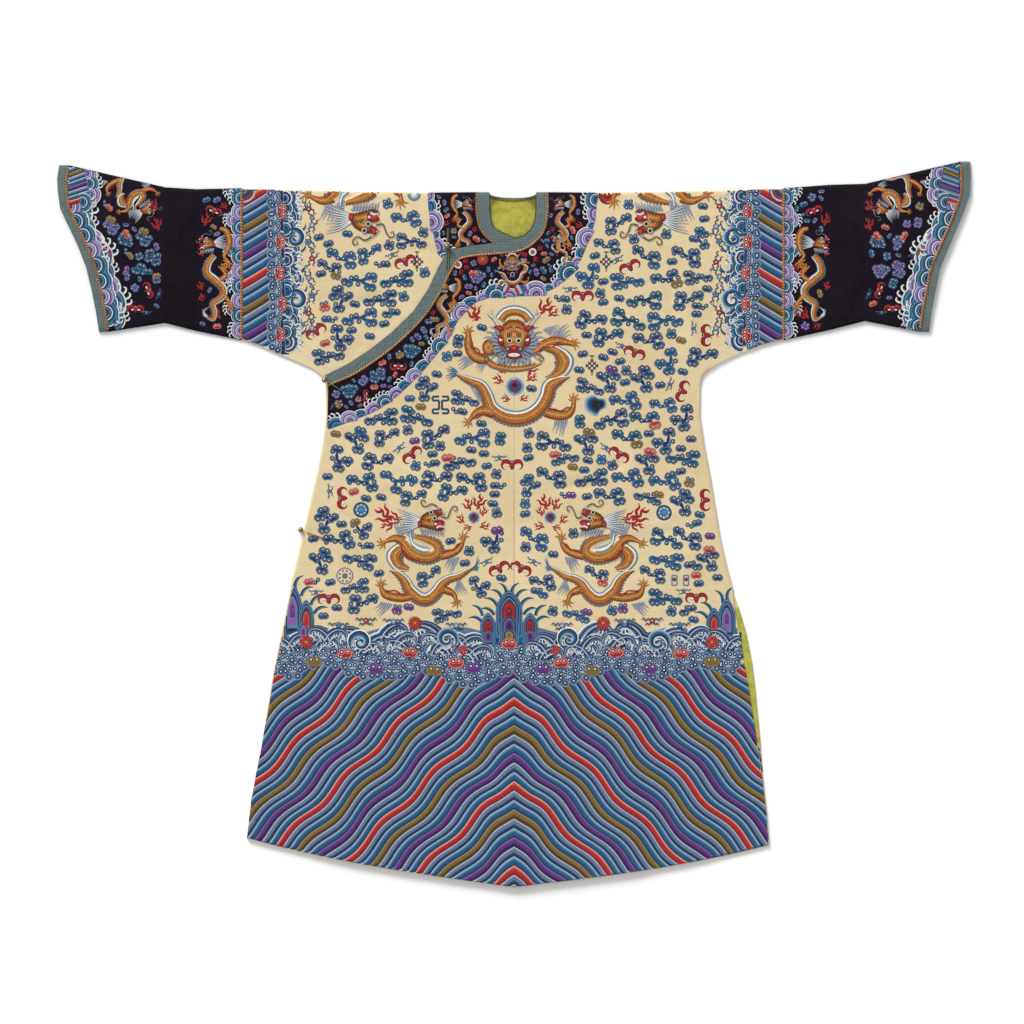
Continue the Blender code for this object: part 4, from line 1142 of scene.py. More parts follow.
def side_head():
    """The head in profile, thrown back with an open mouth, facing right."""
    made = Motif()
    for k in range(9):
        y = 62 + 4.2 * (k - 2)
        made.ribbon(((6, 68 + 1.5 * (k - 4)), (-14, y), (-34 - 3 * (k % 3), y + 2 * (k - 4))), (5, 4, 0.8),
                    ("ash", "white", "light"), lift=0.5, dome=0.5, count=9)
    for k in range(9):
        x = 8 + 5.2 * k
        made.ribbon(((x, 54), (x + 3, 47), (x + 6, 38 + 2 * (k % 2))), (5, 4, 0.8), GREYS,
                    lift=0.5, dome=0.5, count=6)
    made.patch(((4, 70), (10, 82), (22, 90), (34, 94), (46, 92), (48, 84), (38, 74), (46, 62), (54, 54),
                (44, 50), (30, 54), (14, 58), (3, 60)), ("umber", "amber", "gold", "straw", "gold"),
               lift=0.9, dome=1.1, count=30, centre=(24, 72))
    made.patch(((34, 66), (42, 74), (54, 72), (56, 66), (50, 62), (57, 56), (46, 54), (36, 58)),
               REDS, lift=1.9, dome=0.3, count=20)
    made.ribbon(((40, 57), (47, 60), (55, 58)), (4, 4, 1.5), WHITE_LINE, lift=2.2, dome=0.3, count=6)
    made.disc(38, 65, 2.6, ("white", "white"), lift=2.2, dome=0.3, count=7)
    made.patch(((40, 88), (44, 97), (50, 96), (52, 86), (46, 82)), REDS, lift=2.0,
               dome=0.5, count=14)
    for k in range(5):
        made.disc(42 + 3 * k, 99 - 2.8 * k, 2.4, ("slate", "white"), lift=1.9, dome=0.3, count=7)
    made.patch(((2, 60), (2, 70), (8, 72), (11, 64), (7, 58)), REDS, lift=2.0, count=12)
    for x, y in ((29, 89), (36, 77)):
        made.disc(x, y, 5.2, ("slate", "white", "black", "black"), (1, 0.84, 0.62, 0.3, CORE), lift=2.0,
                  dome=0.5, count=12)
    for k in range(3):
        made.ribbon(((12 + 5 * k, 76), (18 + 5 * k, 68)), (2.4, 1), DARK_LINE, lift=2.0, dome=0.2, count=4)
    made.add(whisker(((42, 100), (30, 106), (18, 100), (9, 106), (10, 114), (17, 112), (16, 107))))
    return made.add(whisker(((50, 80), (62, 78), (67, 90), (74, 101), (82, 99), (80, 91), (75, 94))))


def side_dragon(with_pearl=True):
    """The dragon in profile: an S of coils, head up and to the right."""
    made = tufts((-26, 44, 60, 1.4), (-62, -96, 170, 1.3), (74, -4, 190, 1.3), (80, -58, -110, 1.2),
                 (-6, 46, 95, 1.2))
    made.add(body_part(((-8, 16, 14), (-30, 17, 22), (-46, 0, 36), (-37, -20, 26), (-18, -27, 8)),
                       belly_right=True))
    made.add(body_part(((-54, -30, 3), (-39, -36, 15), (-24, -51, 22), (-15, -69, 26), (4, -86, 28),
                        (22, -88, 28), (39, -75, 26), (50, -58, 22), (65, -47, 17), (84, -42, 15),
                        (100, -32, 11), (115, -23, 5)), belly_right=False, up=0.1))
    made.add(body_part(((-4, 39, 9), (18, 33, 17), (38, 24, 22), (43, 7, 26), (26, -3, 28), (6, -2, 28),
                        (-13, 8, 28), (-26, 24, 24), (-36, 33, 17)),
                       belly_right=True, tones=SCALED[:7] + ("straw", "white"), up=0.2))
    made.ribbon(((-14, 46), (-11, 29), (-2, 19), (11, 13), (24, 12)), (3, 6, 10, 13, 9),
                ("sky", "white", "white", "sky"), lift=1.7, dome=0.3, count=14)
    made.add(limb(((-26, 30, 20), (-44, 36, 15), (-59, 32, 9), (-69, 27, 5)), 110, vein=False))
    made.add(limb(((48, 0, 18), (70, 5, 16), (85, 14, 13), (93, 27, 8), (95, 36, 5)), 5))
    made.add(limb(((-10, -82, 16), (-30, -85, 18), (-48, -84, 17), (-65, -79, 15), (-72, -67, 9),
                   (-73, -60, 6)), 0))
    made.add(limb(((44, -68, 18), (63, -71, 15), (76, -80, 11), (80, -92, 6)), 185))
    made.ribbon(((-40, 32), (-32, 24), (-31, 12), (-22, -2), (-10, -8), (6, -8)), (1, 3, 3, 4, 3, 0.8),
                RED_LINE, lift=1.9, dome=0.3, count=18)
    for k in range(TAIL_HAIRS):
        tip = (124 + 2 * (k % 3), -16 + 5 * (k - 3))
        made.ribbon(((108, -27), (120, -24 + 1.5 * (k - 3)), tip), (4, 3.4, 0.8), TEAL_LINE, lift=0.5,
                    dome=0.3, count=7)
    made.add(side_head(), up=0.2)
    if with_pearl:
        made.add(flaming_pearl(12.5, (-20, -12, 40, 0.8), (-8, 14, 15, 1.0), (6, 16, -20, 1.2),
                               (16, 2, -20, 0.8), (-4, -20, 100, 0.7), (12, -20, -80, 0.8)), 116, 79)
        made.add(flames((-30, 74, 80, 1.2), (-52, 72, 50, 1.5), (-46, 66, 100, 1.1)))
    return made


def long_dragon():
    """A slender dragon that hangs in an S, for the dark bands."""
    made = Motif()
    made.add(body_part(((-5, 42, 13), (-18, 25, 16), (-20, 5, 18), (-3, -10, 18), (14, -28, 17),
                        (10, -46, 15), (-8, -59, 14), (-5, -76, 12), (-8, -92, 9), (-24, -86, 3)),
                       belly_right=False, up=0.1))
    made.add(limb(((6, 98, 8), (20, 92, 13), (26, 70, 14), (21, 52, 11), (15, 40, 8), (24, 28, 5)), 150,
                  vein=False))
    made.add(limb(((6, -10, 11), (18, 0, 10), (12, 12, 5)), -30, vein=False))
    made.add(limb(((12, -38, 12), (22, -50, 9), (30, -60, 5)), 150, vein=False))
    for k in range(6):
        made.ribbon(((-20, -86), (-28, -84 + 2 * k), (-30 + 3 * k, -70 + k)), (3, 2.6, 0.8),
                    ("teal", "white"), lift=0.6, dome=0.3, count=6)
    made.add(side_head(), 2, 24, 6, size=0.62, flip=-1, up=0.3)
    return made.add(flames((-30, 40, 20, 0.7), (26, 10, -30, 0.7), (-32, -30, 10, 0.7), (30, -84, -10, 0.7)))


# ---------------------------------------------------------- stripes of water
STRIPE_PITCH = 13.5       # millimetres across the stripes
STRIPE_TOP = 237          # where the first stripe would meet the centre line
STRIPE_COUNT = 66
STRIPE_SWELL = 5.6        # height of the S-waves
STRIPE_RUN = 152          # their length along a stripe
STRIPE_PHASE = 1.45
STRIPE_DRIFT = 0.5        # and how far the waves wander from stripe to stripe
STRIPE_DRIFT_ROWS = 2.9
STRIPE_STEPS = 76
STRIPE_ARCH = 16          # the stripes' tops are rounded off by this much
STRIPE_ARCH_REACH = 40    # within this distance of the centre
STRIPE_CALM = 60          # the S-waves grow to their full height over this distance
STRIPE_LEAST = 0.05       # stitches smaller than this are left out
STRIPE_TUCK = 18          # and so are those this far up under the foam
SLATE_STRIPE = ("mist", "slate", "slate", "blue", "navy")
TEAL_STRIPE = ("pale", "sky", "mid", "teal", "deep")
STRIPE_CYCLE = (          # the threads of each stripe, from its pale upper edge down
    ("orchid", "purple", "purple", "plum", "plum"), SLATE_STRIPE, TEAL_STRIPE,
    ("pink", "coral", "red", "red", "crimson"), SLATE_STRIPE, TEAL_STRIPE,
    ("sand", "olive", "olive", "umber", "umber"), SLATE_STRIPE, TEAL_STRIPE,
)
BAND_EDGES = np.array((0.0, 0.14, 0.34, 0.58, 0.78))
BAND_LIFTS = np.array((0.15, 0.50, 0.75, 0.75, 0.45))
BANDS = len(BAND_EDGES)
SOLVE_ROUNDS = 12
EDGE_GAP = 1.0            # millimetres from the hem to the last stitches
EDGE_REACH = 5.0          # and how far the stripes run past the side, over the layer below
EDGE_FINE = 0.975         # share of the width after which the steps are fine
EDGE_STEPS = 10
ROOT_2 = math.sqrt(2)


def hem_y(x, side):
    """Height of the hem in metres at a distance from the centre."""
    u = np.abs(x) / HEM_HALF[side]
    return HEM_SIDE_Y - HEM_DROP * (1 - HEM_STRAIGHT * u - (1 - HEM_STRAIGHT) * u ** 3) - HEM_TILT * side * u


def side_x(y, side):
    """Half width of the skirt in metres at a height."""
    return np.interp(y, *SIDES[side])


FOAM_LEVEL = -300         # millimetres
FOAM_WAVE = 26            # depth of its scallops
FOAM_RUN = 190            # their width
FOAM_SLOPE = 0.05         # and how it rises to the sides


def foam_y(x):
    """Height in millimetres of the foam's lower edge, where the stripes begin."""
    reach = np.abs(x)
    return FOAM_LEVEL - FOAM_WAVE * np.sin(reach * math.pi / FOAM_RUN) ** 2 + FOAM_SLOPE * reach


def skirt_stripes(side):
    """The standing water at the hem: wavy stripes that fall away from the centre."""
    across = np.concatenate([np.linspace(0, EDGE_FINE, STRIPE_STEPS),
                             np.linspace(EDGE_FINE, 1, EDGE_STEPS)[1:]])
    rows = (np.arange(STRIPE_COUNT)[:, None] + BAND_EDGES[None, :]).ravel()
    rows = np.append(rows, float(STRIPE_COUNT))[:, None]
    lifts = np.append(np.tile(BAND_LIFTS, STRIPE_COUNT), BAND_LIFTS[0])[:, None]
    x = across[None, :] * (HEM_HALF[side] / MM) * np.ones_like(rows)
    level = (STRIPE_TOP / ROOT_2) - rows * STRIPE_PITCH
    y = level * ROOT_2 - x
    phase = STRIPE_PHASE + STRIPE_DRIFT * np.sin(rows / STRIPE_DRIFT_ROWS)
    for _ in range(SOLVE_ROUNDS):
        floor = hem_y(x * MM, side) / MM + EDGE_GAP
        x = across[None, :] * (side_x(np.maximum(y, floor) * MM, side) / MM + EDGE_REACH)
        wave = STRIPE_SWELL * np.sin(2 * math.pi * (x - y) / (ROOT_2 * STRIPE_RUN) + phase)
        y = (level + wave * smooth(0, STRIPE_CALM, x)) * ROOT_2 - x
    y = y - STRIPE_ARCH * np.exp(-x / STRIPE_ARCH_REACH)
    points = np.stack([side * x, np.maximum(y, floor)], -1)
    thread = np.stack(np.broadcast_arrays(rows * STRIPE_PITCH, x * ROOT_2), -1)
    tones = [TONE[name] for stripe in range(STRIPE_COUNT)
             for name in STRIPE_CYCLE[stripe % len(STRIPE_CYCLE)]]
    made = Motif().grid(points, lifts, thread, np.array(tones)[:, None])
    flat, lift, thread, faces, tones = made.parts[0]
    middle = flat[faces].mean(axis=1)
    size = np.ptp(flat[faces], axis=1).min(axis=1)
    keep = (size > STRIPE_LEAST) & (middle[:, 1] < foam_y(middle[:, 0]) + STRIPE_TUCK)
    made.parts = [(flat, lift, thread, faces[keep], tones[keep])]
    return made


# ------------------------------------------------------------------ layout
RANDOM = random.Random(31)
FOAM_HEADS = (            # x, height and colour of the foam's bright heads
    (-10, -242, BLUE_TO_RED), (-118, -281, BLUE_TO_RED), (96, -281, BLUE_TO_RED),
    (208, -260, BLUE_TO_RED), (-212, -260, BLUE_TO_RED), (341, -262, BLUE_TO_RED),
    (-345, -262, BLUE_TO_RED), (-82, -291, BLUE_TO_PURPLE), (59, -293, BLUE_TO_PURPLE),
    (277, -293, BLUE_TO_PURPLE), (-281, -293, BLUE_TO_PURPLE), (159, -297, BLUE_TO_OLIVE),
    (-163, -297, BLUE_TO_OLIVE), (404, -278, BLUE_TO_OLIVE), (-408, -278, BLUE_TO_OLIVE),
)


FOAM_TONES = ("pale", "mid", "slate", "navy", "white")
FOAM_RINGS = (1, 0.87, 0.62, 0.52, 0.20, CORE)
FOAM_SKIRT = {"navy": "pale", "light": "mid", "night": "navy"}


def foam_face(head_swap=()):
    """A head of foam over a ring of curls, each with a pale edge."""
    made = Motif()
    for x, y in ((-15, 1), (15, 1), (-9, -11), (9, -11)):
        made.disc(x, y, 8.6, FOAM_TONES, FOAM_RINGS, count=10)
    return made.add(Motif().add(HEAD, 0, 3, swap=FOAM_SKIRT, up=0.15), swap=head_swap)


FOAM_RISES = (2, 18, 36, 56)             # heights over its lower edge where its plain bed is cut
FOAM_ROWS = ((47, 0.35), (28, 0.55), (8, 0.75))     # rise over the stripes, and lift
FOAM_PITCH = (27.0, 33.0)                # least and greatest distance from head to head


def bed(x, heights, row_pitch, lift, tones):
    """Plain bands that run across the skirt, at several heights over each x."""
    points = np.stack([np.stack([x, y], -1) for y in heights], 1)
    thread = np.stack(np.broadcast_arrays(x[:, None], np.arange(len(heights))[None] * row_pitch), -1)
    return Motif().grid(points, lift, thread, np.array([TONE[t] for t in tones])[None, :])


def foam(right, left):
    """The band of foam heads between the waves and the stripes, from side to side."""
    x = np.linspace(-right, left, 91)
    made = bed(x, [foam_y(x) + rise for rise in FOAM_RISES], row_pitch=14, lift=0.2,
               tones=("blue", "mid", "blue"))
    faces = foam_face(), foam_face(), foam_face(BLUE_TO_TEAL), foam_face(BLUE_TO_BRIGHT)
    for row, (rise, up) in enumerate(FOAM_ROWS):
        x = -right + 16 * (row % 2)
        while x < left:
            y = foam_y(x) + rise + RANDOM.uniform(-5, 5) - 4 * math.sin(x / 19)
            made.add(RANDOM.choice(faces), x, y, RANDOM.uniform(-14, 14), up=up)
            x += RANDOM.uniform(*FOAM_PITCH)
    for x, y, swap in FOAM_HEADS:
        made.add(HEAD, x, y, RANDOM.uniform(-8, 8), size=1.25, swap=swap, up=1.2)
    return made


WAVES = (                 # x, height, size, side and inner tone of each crest
    (62, -248, 0.9, -1, "mid"), (-80, -248, 0.9, 1, "mid"),
    (104, -250, 1.05, -1, "slate"), (-120, -250, 1.05, 1, "slate"),
    (150, -262, 1.0, 1, "teal"), (-160, -262, 1.0, -1, "teal"),
    (176, -228, 1.1, 1, "slate"), (-186, -228, 1.1, -1, "slate"),
    (232, -226, 1.0, -1, "mid"), (-240, -226, 1.0, 1, "mid"),
    (258, -250, 1.1, -1, "teal"), (-266, -250, 1.1, 1, "teal"),
    (330, -238, 1.05, 1, "slate"), (-336, -238, 1.05, -1, "slate"),
    (372, -250, 1.0, -1, "mid"), (-380, -250, 1.0, 1, "mid"),
    (414, -232, 0.9, 1, "slate"), (-420, -232, 0.9, -1, "slate"),
    (440, -248, 0.8, -1, "teal"), (-446, -248, 0.8, 1, "teal"),
)
ROLLERS = ((112, -234, 0.9, -1), (-137, -234, 0.9, 1), (294, -240, 0.95, 1), (-314, -240, 0.95, -1))


SEA_TOP = -216            # millimetres, the sea behind the crests
SEA_X = (-490, 464)
SEA_FOOT = 50             # how far over the foam's lower edge it ends
BACK_CRESTS = (-472, 460, 37)            # first, last and step of the crests behind


def waves():
    """Crests and rollers along the foam, with the sea behind them."""
    x = np.linspace(*SEA_X, 121)
    top = SEA_TOP + 7 * np.sin(x / 23)
    heights = [top + share * (foam_y(x) + SEA_FOOT - top) for share in (0, 0.25, 0.5, 0.75, 1)]
    made = bed(x, heights, row_pitch=9, lift=0.1, tones=("slate", "navy", "mid", "navy"))
    for x, y, size, side in ROLLERS:
        made.add(big_curl(side), x, y, 0, size=size * 1.2, up=1.1)
    for x, y, size, side, inner in WAVES:
        made.add(crest(side, inner), x, y + 10, RANDOM.uniform(-6, 6), size=size * 1.25, up=0.45)
    for number, x in enumerate(range(*BACK_CRESTS)):
        if abs(x + 10) > 30:
            made.add(crest((-1, 1)[number % 2], ("teal", "mid")[number % 3 % 2]), x + RANDOM.uniform(-6, 6),
                     foam_y(x) + 60, RANDOM.uniform(-10, 10), size=1.05, up=0.7)
    return made


TREASURES = (             # x, height and kind, on both sides of the centre
    (282, -196, "lozenge"), (98, -206, "ring"), (338, -206, "leaf"), (226, -198, "ring"),
)
TREASURE_BLOOMS = ((182, -201), (404, -240))
LATTICE_KNOT = (84, -256, 3.5)


def treasures():
    """Flowers, knots and ribboned emblems that float on the waves."""
    made = Motif()
    bar = strokes((((-9, 0), (9, 0)),), width=2.6, tones=("red", "coral"))
    knot_x, knot_y, gap = LATTICE_KNOT
    for side in (-1, 1):
        place = side * 10 - 10
        for x, y in TREASURE_BLOOMS:
            made.add(bloom(), place + side * x, y, size=1.05, up=1.3)
        for x, y, kind in TREASURES:
            made.add(ornament(kind), place + side * x, y, size=1.1, flip=side, up=1.2)
        for shift in (-gap, 0, gap):
            made.add(bar, place + side * knot_x + shift, knot_y - shift, 45, up=1.9)
            made.add(bar, place + side * knot_x + shift, knot_y + shift, 135, up=1.9)
    return made


RED_CORE = ("red", "crimson")
CORAL_CORE = ("coral", "red")
PURPLE_CORE = ("purple", "plum")
ORCHID_CORE = ("orchid", "purple")
OLIVE_CORE = ("sand", "olive")
ROCKS = (                 # x, foot, half width, height, core, bands and lift
    (-10, -232, 27, 98, RED_CORE, 9, 0.0),
    (-10, -246, 21, 69, PURPLE_CORE, 7, 0.2),
    (-10, -250, 18, 43, OLIVE_CORE, 6, 0.4),
    (-53, -246, 16, 66, RED_CORE, 6, 0.1),
    (33, -246, 16, 66, RED_CORE, 6, 0.1),
    (-53, -250, 13, 40, PURPLE_CORE, 4, 0.3),
    (33, -250, 13, 40, PURPLE_CORE, 4, 0.3),
    (-452, -246, 20, 126, ORCHID_CORE, 7, 0.0),
    (-424, -246, 16, 92, CORAL_CORE, 6, 0.2),
    (-430, -250, 13, 56, ORCHID_CORE, 4, 0.4),
    (434, -246, 18, 96, ORCHID_CORE, 7, 0.0),
    (408, -246, 16, 76, CORAL_CORE, 6, 0.2),
)
FRONDS = (                # x, height, turn and side
    (-4, -146, 24, 1), (-16, -146, -24, -1), (4, -152, 0, 1), (-24, -152, 0, -1),
    (14, -166, -8, 1), (-34, -166, 8, -1), (20, -184, -14, 1), (-40, -184, 14, -1),
    (44, -200, -20, 1), (-64, -200, 20, -1), (44, -186, 6, 1), (-64, -186, -6, -1),
    (-446, -130, 20, 1), (-434, -146, 0, 1), (-414, -164, 0, 1), (-408, -182, -14, 1),
    (426, -160, -20, -1), (436, -156, 30, 1), (404, -178, 0, -1), (396, -192, 14, -1),
)


def mountains():
    """Rocks that stand in the waves, with their sprays."""
    made = Motif()
    for x, y, turn, side in FRONDS:
        made.add(frond(side), x, y, turn, size=1.45)
    for x, y, half, height, core, bands, up in ROCKS:
        made.add(rock(half, height, core, bands), x, y, up=0.35 + up)
    return made


BATS = (                  # x, height, turn and side of the red bats on the cream
    (-222, 536, 20, 1), (-404, 394, 30, 1), (236, 526, 25, 1), (246, 350, -20, 1),
    (-208, 142, 40, 1), (-4, 122, 0, 1), (214, 142, -30, 1), (-350, 54, 90, 1), (344, 272, 70, 1),
    (390, 50, 90, -1), (-30, -90, 25, 1), (14, -90, -25, -1), (-378, -152, 0, 1), (372, -150, 0, 1),
    (140, 466, 0, 1), (392, 386, 90, 1),
)


FRET = ((3, 17), (16, 17), (16, 9), (3, 9), (3, -9), (16, -9), (16, -17), (3, -17))
FRET_PLACE = (-150, 244)
AXE = ((149, 260), (143, 248), (146, 234), (156, 226), (168, 221), (176, 232), (188, 240), (186, 256),
       (172, 258), (162, 264))
CUP = (((0, 8), (0, -12)), ((10, 8), (10, -12)), ((0, -12), (10, -12)), ((0, 8), (10, 8)))
CUP_PLACES = ((322, -112), (346, -112))
KNOT_PLACES = ((-198, 536), (188, 536), (159, 324))
KNOT_TASSELS = (((0, 13), (0, 20)), ((-5, 20), (5, 20)), ((0, -13), (0, -20)))


def emblems():
    """Round and square emblems of the cream ground."""
    made = Motif()
    for x, y in ((-312, 30), (306, 24)):
        made.add(disc_emblem(("deep", "teal", "sky", "teal", "sky")), x, y)
    made.add(disc_emblem(("ash", "cream", "ash", "cream", "ash")), -345, -105, size=1.1)
    for side in (-1, 1):
        fret = flipped(side, FRET)
        made.add(strokes(zip(fret, fret[1:]), width=4.2, tones=("navy", "teal", "deep")), *FRET_PLACE)
    made.patch(AXE, ("pale", "sky", "teal", "deep", "night", "black"), (1, 0.88, 0.76, 0.64, 0.52, 0.2, CORE),
               lift=0.3, dome=0.3, count=24, centre=(174, 245))
    for x, y in CUP_PLACES:
        made.add(strokes(CUP, width=3, tones=("slate", "light")), x, y)
        made.disc(x + 5, y, 4, ("navy", "coral"), lift=0.3)
    return made


def endless_knot():
    """Three strokes laced over three, with a tassel above and below."""
    made = Motif()
    for shift in (-7, 0, 7):
        line = strokes((((-11, shift), (11, shift)),), width=2.2, tones=PLUM_LINE)
        made.add(line, turn=45, up=0.1).add(line, turn=-45, up=0.25)
    return made.add(strokes(KNOT_TASSELS, width=2.2, tones=PLUM_LINE))


def cream_details():
    """Bats, their ornaments, emblems and knots of the cream ground."""
    made = Motif()
    for x, y, turn, side in BATS:
        made.add(bat(), x, y, turn, size=1.05, flip=side)
        made.add(ornament("leaf"), x - 26 * side, y + 14, turn, size=0.8)
    made.add(emblems())
    for x, y in KNOT_PLACES:
        made.add(endless_knot(), x, y)
    made.disc(190, 671, 18, ("umber", "crimson", "red", "crimson"), (1, 0.84, 0.72, 0.4, CORE), lift=0.4,
              count=20)
    made.disc(-204, 674, 14, ("slate", "pale", "white"), lift=0.4, count=16)
    return made


CELL = 3.0                # millimetres, the step of the map of what is free
MAP_HALF = (936, 744)     # its half width and half height
PROBE = 6                 # millimetres, places that any pattern fills
SMALL = ({"heads": ((-9, 4, 0), (9, -4, 180)), "curls": ((2, 8),), "stems": (((-7, 2), (0, 0), (7, -2)),)},
         {"heads": ((0, 8, 0), (1, -9, 182)), "curls": ((9, 0),), "stems": (((0, 6), (2, 0), (1, -6)),)},
         {"heads": ((0, 0, 0),), "curls": (), "stems": ()},
         {"heads": ((-8, 3, 0),), "curls": ((6, -3), (14, 3)), "stems": (((-6, 0), (3, -3), (12, 0)),)},
         {"heads": ((0, -5, 180),), "curls": ((-5, 7), (6, 6)), "stems": (((-3, 5), (0, -3)),)})


class Ground:
    """A map of the free places of some cloths, for scattering small patterns."""

    def __init__(self, cloth, names, inset):
        columns = np.arange(-MAP_HALF[0], MAP_HALF[0], CELL)
        rows = np.arange(-MAP_HALF[1], MAP_HALF[1], CELL)
        x, y = np.meshgrid(columns, rows, indexing="ij")
        owners = cloth.under(x.ravel() * MM, y.ravel() * MM)[1].reshape(x.shape)
        wanted = [cloth.names.index(name) for name in names]
        self.free = ~self.spread(~np.isin(owners, wanted), inset)

    @staticmethod
    def spread(mask, steps):
        """A mask grown by a number of cells."""
        for _ in range(steps):
            grown = mask.copy()
            grown[1:] |= mask[:-1]
            grown[:-1] |= mask[1:]
            grown[:, 1:] |= mask[:, :-1]
            grown[:, :-1] |= mask[:, 1:]
            mask = grown
        return mask

    def cells(self, points):
        """Columns and rows of the cells that hold the points."""
        i = np.clip(np.rint((points[:, 0] + MAP_HALF[0]) / CELL).astype(int), 0, self.free.shape[0] - 1)
        j = np.clip(np.rint((points[:, 1] + MAP_HALF[1]) / CELL).astype(int), 0, self.free.shape[1] - 1)
        return i, j

    def take(self, motif, margin):
        """Mark the places that a motif fills, and some cells round them."""
        for part in motif.parts:
            i, j = self.cells(part[0][part[3]].reshape(-1, 2))
            for step_i in range(-margin, margin + 1):
                for step_j in range(-margin, margin + 1):
                    self.free[np.clip(i + step_i, 0, self.free.shape[0] - 1),
                              np.clip(j + step_j, 0, self.free.shape[1] - 1)] = False

    def fits(self, motif):
        """Whether all of a motif falls on free cells."""
        return all(self.free[self.cells(part[0])].all() for part in motif.parts)

    def scatter(self, made, make, places, size, lean, jitter, tries):
        """Put motifs, one made afresh for each of the places, where they fit."""
        probe = np.array([(0, 0), (PROBE, 0), (-PROBE, 0), (0, PROBE), (0, -PROBE)]) * size
        for place in places:
            if not self.free[self.cells(np.array([place]))].all():
                continue
            for _ in range(tries):
                x, y = (p + RANDOM.uniform(-jitter, jitter) for p in place)
                if not self.free[self.cells(probe + (x, y))].all():
                    continue
                one = Motif().add(make(), x, y, RANDOM.uniform(-lean, lean), size=size,
                                  flip=RANDOM.choice((-1, 1)))
                if self.fits(one):
                    made.parts += one.parts
                    self.take(one, 0)
                    break


HEAD_SWAPS = {"cream": ((),) * 12 + (BLUE_TO_PURPLE, BLUE_TO_OLIVE, BLUE_TO_RED, BLUE_TO_BRIGHT),
              "dark": ((), BLUE_TO_RED, BLUE_TO_OLIVE, BLUE_TO_TEAL, BLUE_TO_LILAC)}
CLOUD_SWAPS = {"cream": ((), (), (), BLUE_TO_BRIGHT, BLUE_TO_TEAL),
               "dark": ((), BLUE_TO_TEAL, BLUE_TO_LILAC, BLUE_TO_BRIGHT, BLUE_TO_LILAC)}


def clouds(plans, ground):
    """A maker of clouds of the plans, in the colours of their ground."""
    return lambda: Motif().add(cloud(RANDOM.choice(plans), RANDOM.choice(HEAD_SWAPS[ground])),
                               swap=RANDOM.choice(CLOUD_SWAPS[ground]))


def lattice(step_x, step_y, half_x, low, high):
    """Staggered places row by row, from the shoulders down."""
    rows = np.arange(high, low, -step_y)
    return [(x + step_x / 2 * (number % 2), y) for number, y in enumerate(rows)
            for x in np.arange(-half_x, half_x, step_x)]


def sparks():
    """A scrap for the narrowest places of the dark ground: a flame, a ribbon or a curl."""
    kind = RANDOM.randrange(5)
    if kind < 2:
        return flame()
    if kind == 2:
        return Motif().add(ornament("leaf"), size=0.8)
    return Motif().add(HEAD, size=0.8, swap=RANDOM.choice(((), BLUE_TO_TEAL, BLUE_TO_LILAC, BLUE_TO_LILAC)))


# Where patterns are scattered: half width, lowest and highest place, in millimetres
CREAM_AREA = (470, -200, 665)
DARK_AREA = (930, 190, 720)
BAND_AREA = (720, 190, 720)
YOKE_AREA = (390, 190, 680)
# and the passes: steps across and along, size, pattern, lean, jitter and tries
CREAM_PASSES = (
    ((78, 41), 0.98, clouds(CLOUDS, "cream"), 16, 6, 24),
    ((31, 23), 0.92, clouds(CLOUDS, "cream"), 16, 6, 10),
    ((17, 13), 0.84, clouds(CLOUDS, "cream"), 16, 6, 5),
    ((13, 11), 0.84, clouds(SMALL, "cream"), 16, 6, 4),
)
DARK_PASSES = (
    ((44, 34), 0.80, clouds(COMPACT, "dark"), 80, 8, 8),
    ((21, 17), 0.76, clouds(COMPACT, "dark"), 80, 8, 8),
    ((13, 11), 0.68, clouds(SMALL, "dark"), 80, 8, 8),
    ((12, 10), 0.62, sparks, 180, 4, 3),
)
BAND_PASSES = (
    ((17, 14), 0.70, clouds(SMALL, "dark"), 180, 4, 5),
    ((15, 12), 0.62, flame, 180, 4, 5),
    ((13, 11), 0.55, clouds(SMALL, "dark"), 180, 4, 5),
)
YOKE_PASSES = (
    ((13, 10), 0.66, clouds(SMALL, "dark"), 180, 4, 9),
    ((12, 10), 0.62, flame, 180, 4, 9),
    ((9, 7), 0.5, clouds(SMALL, "dark"), 180, 4, 9),
    ((8, 6), 0.5, sparks, 180, 4, 9),
)


def filled(ground, area, passes):
    """A ground filled in passes, the large patterns first and the small ones between them."""
    made = Motif()
    for step, size, make, lean, jitter, tries in passes:
        ground.scatter(made, make, lattice(*step, *area), size, lean, jitter, tries)
    return made


YOKE_EDGE_LEFT = (        # the yoke's outer edge, from the wearer's left shoulder to the side
    (167, 674), (161, 615), (149, 580), (131, 538), (102, 501), (67, 478), (33, 470), (0, 468), (-45, 466),
    (-88, 450), (-114, 421), (-137, 380), (-169, 338), (-216, 287), (-263, 248), (-310, 223), (-381, 197),
)
YOKE_EDGE_RIGHT = ((-174, 674), (-169, 627), (-161, 589), (-149, 552), (-131, 536))
SLEEVE_TOP = 684
SLEEVE_FOOT = {1: ((550, 378), (502, 365), (455, 347), (420, 331)),
               -1: ((556, 378), (516, 364), (475, 346), (437, 330))}
CORD_X = {1: 550, -1: 556}
CUFF_EDGE = {             # the seam of the cuff's edging, top to bottom
    1: ((911, 733), (913, 707), (911, 672), (897, 633), (881, 595), (863, 553), (850, 520), (842, 480),
        (833, 434), (828, 398)),
    -1: ((909, 728), (913, 706), (912, 682), (907, 644), (889, 607), (870, 566), (854, 524), (843, 478),
         (834, 434), (828, 398)),
}
COLLAR_SEAM_LEFT = ((69, 674), (69, 640), (65, 612), (56, 591), (42, 576), (27, 565), (10, 558), (-6, 555),
                    (-45, 552), (-85, 548), (-113, 540), (-132, 511), (-155, 466), (-188, 419), (-234, 373),
                    (-281, 336), (-328, 306), (-379, 284))
COLLAR_SEAM_RIGHT = ((-77, 674), (-77, 640), (-71, 609), (-59, 589), (-40, 573))


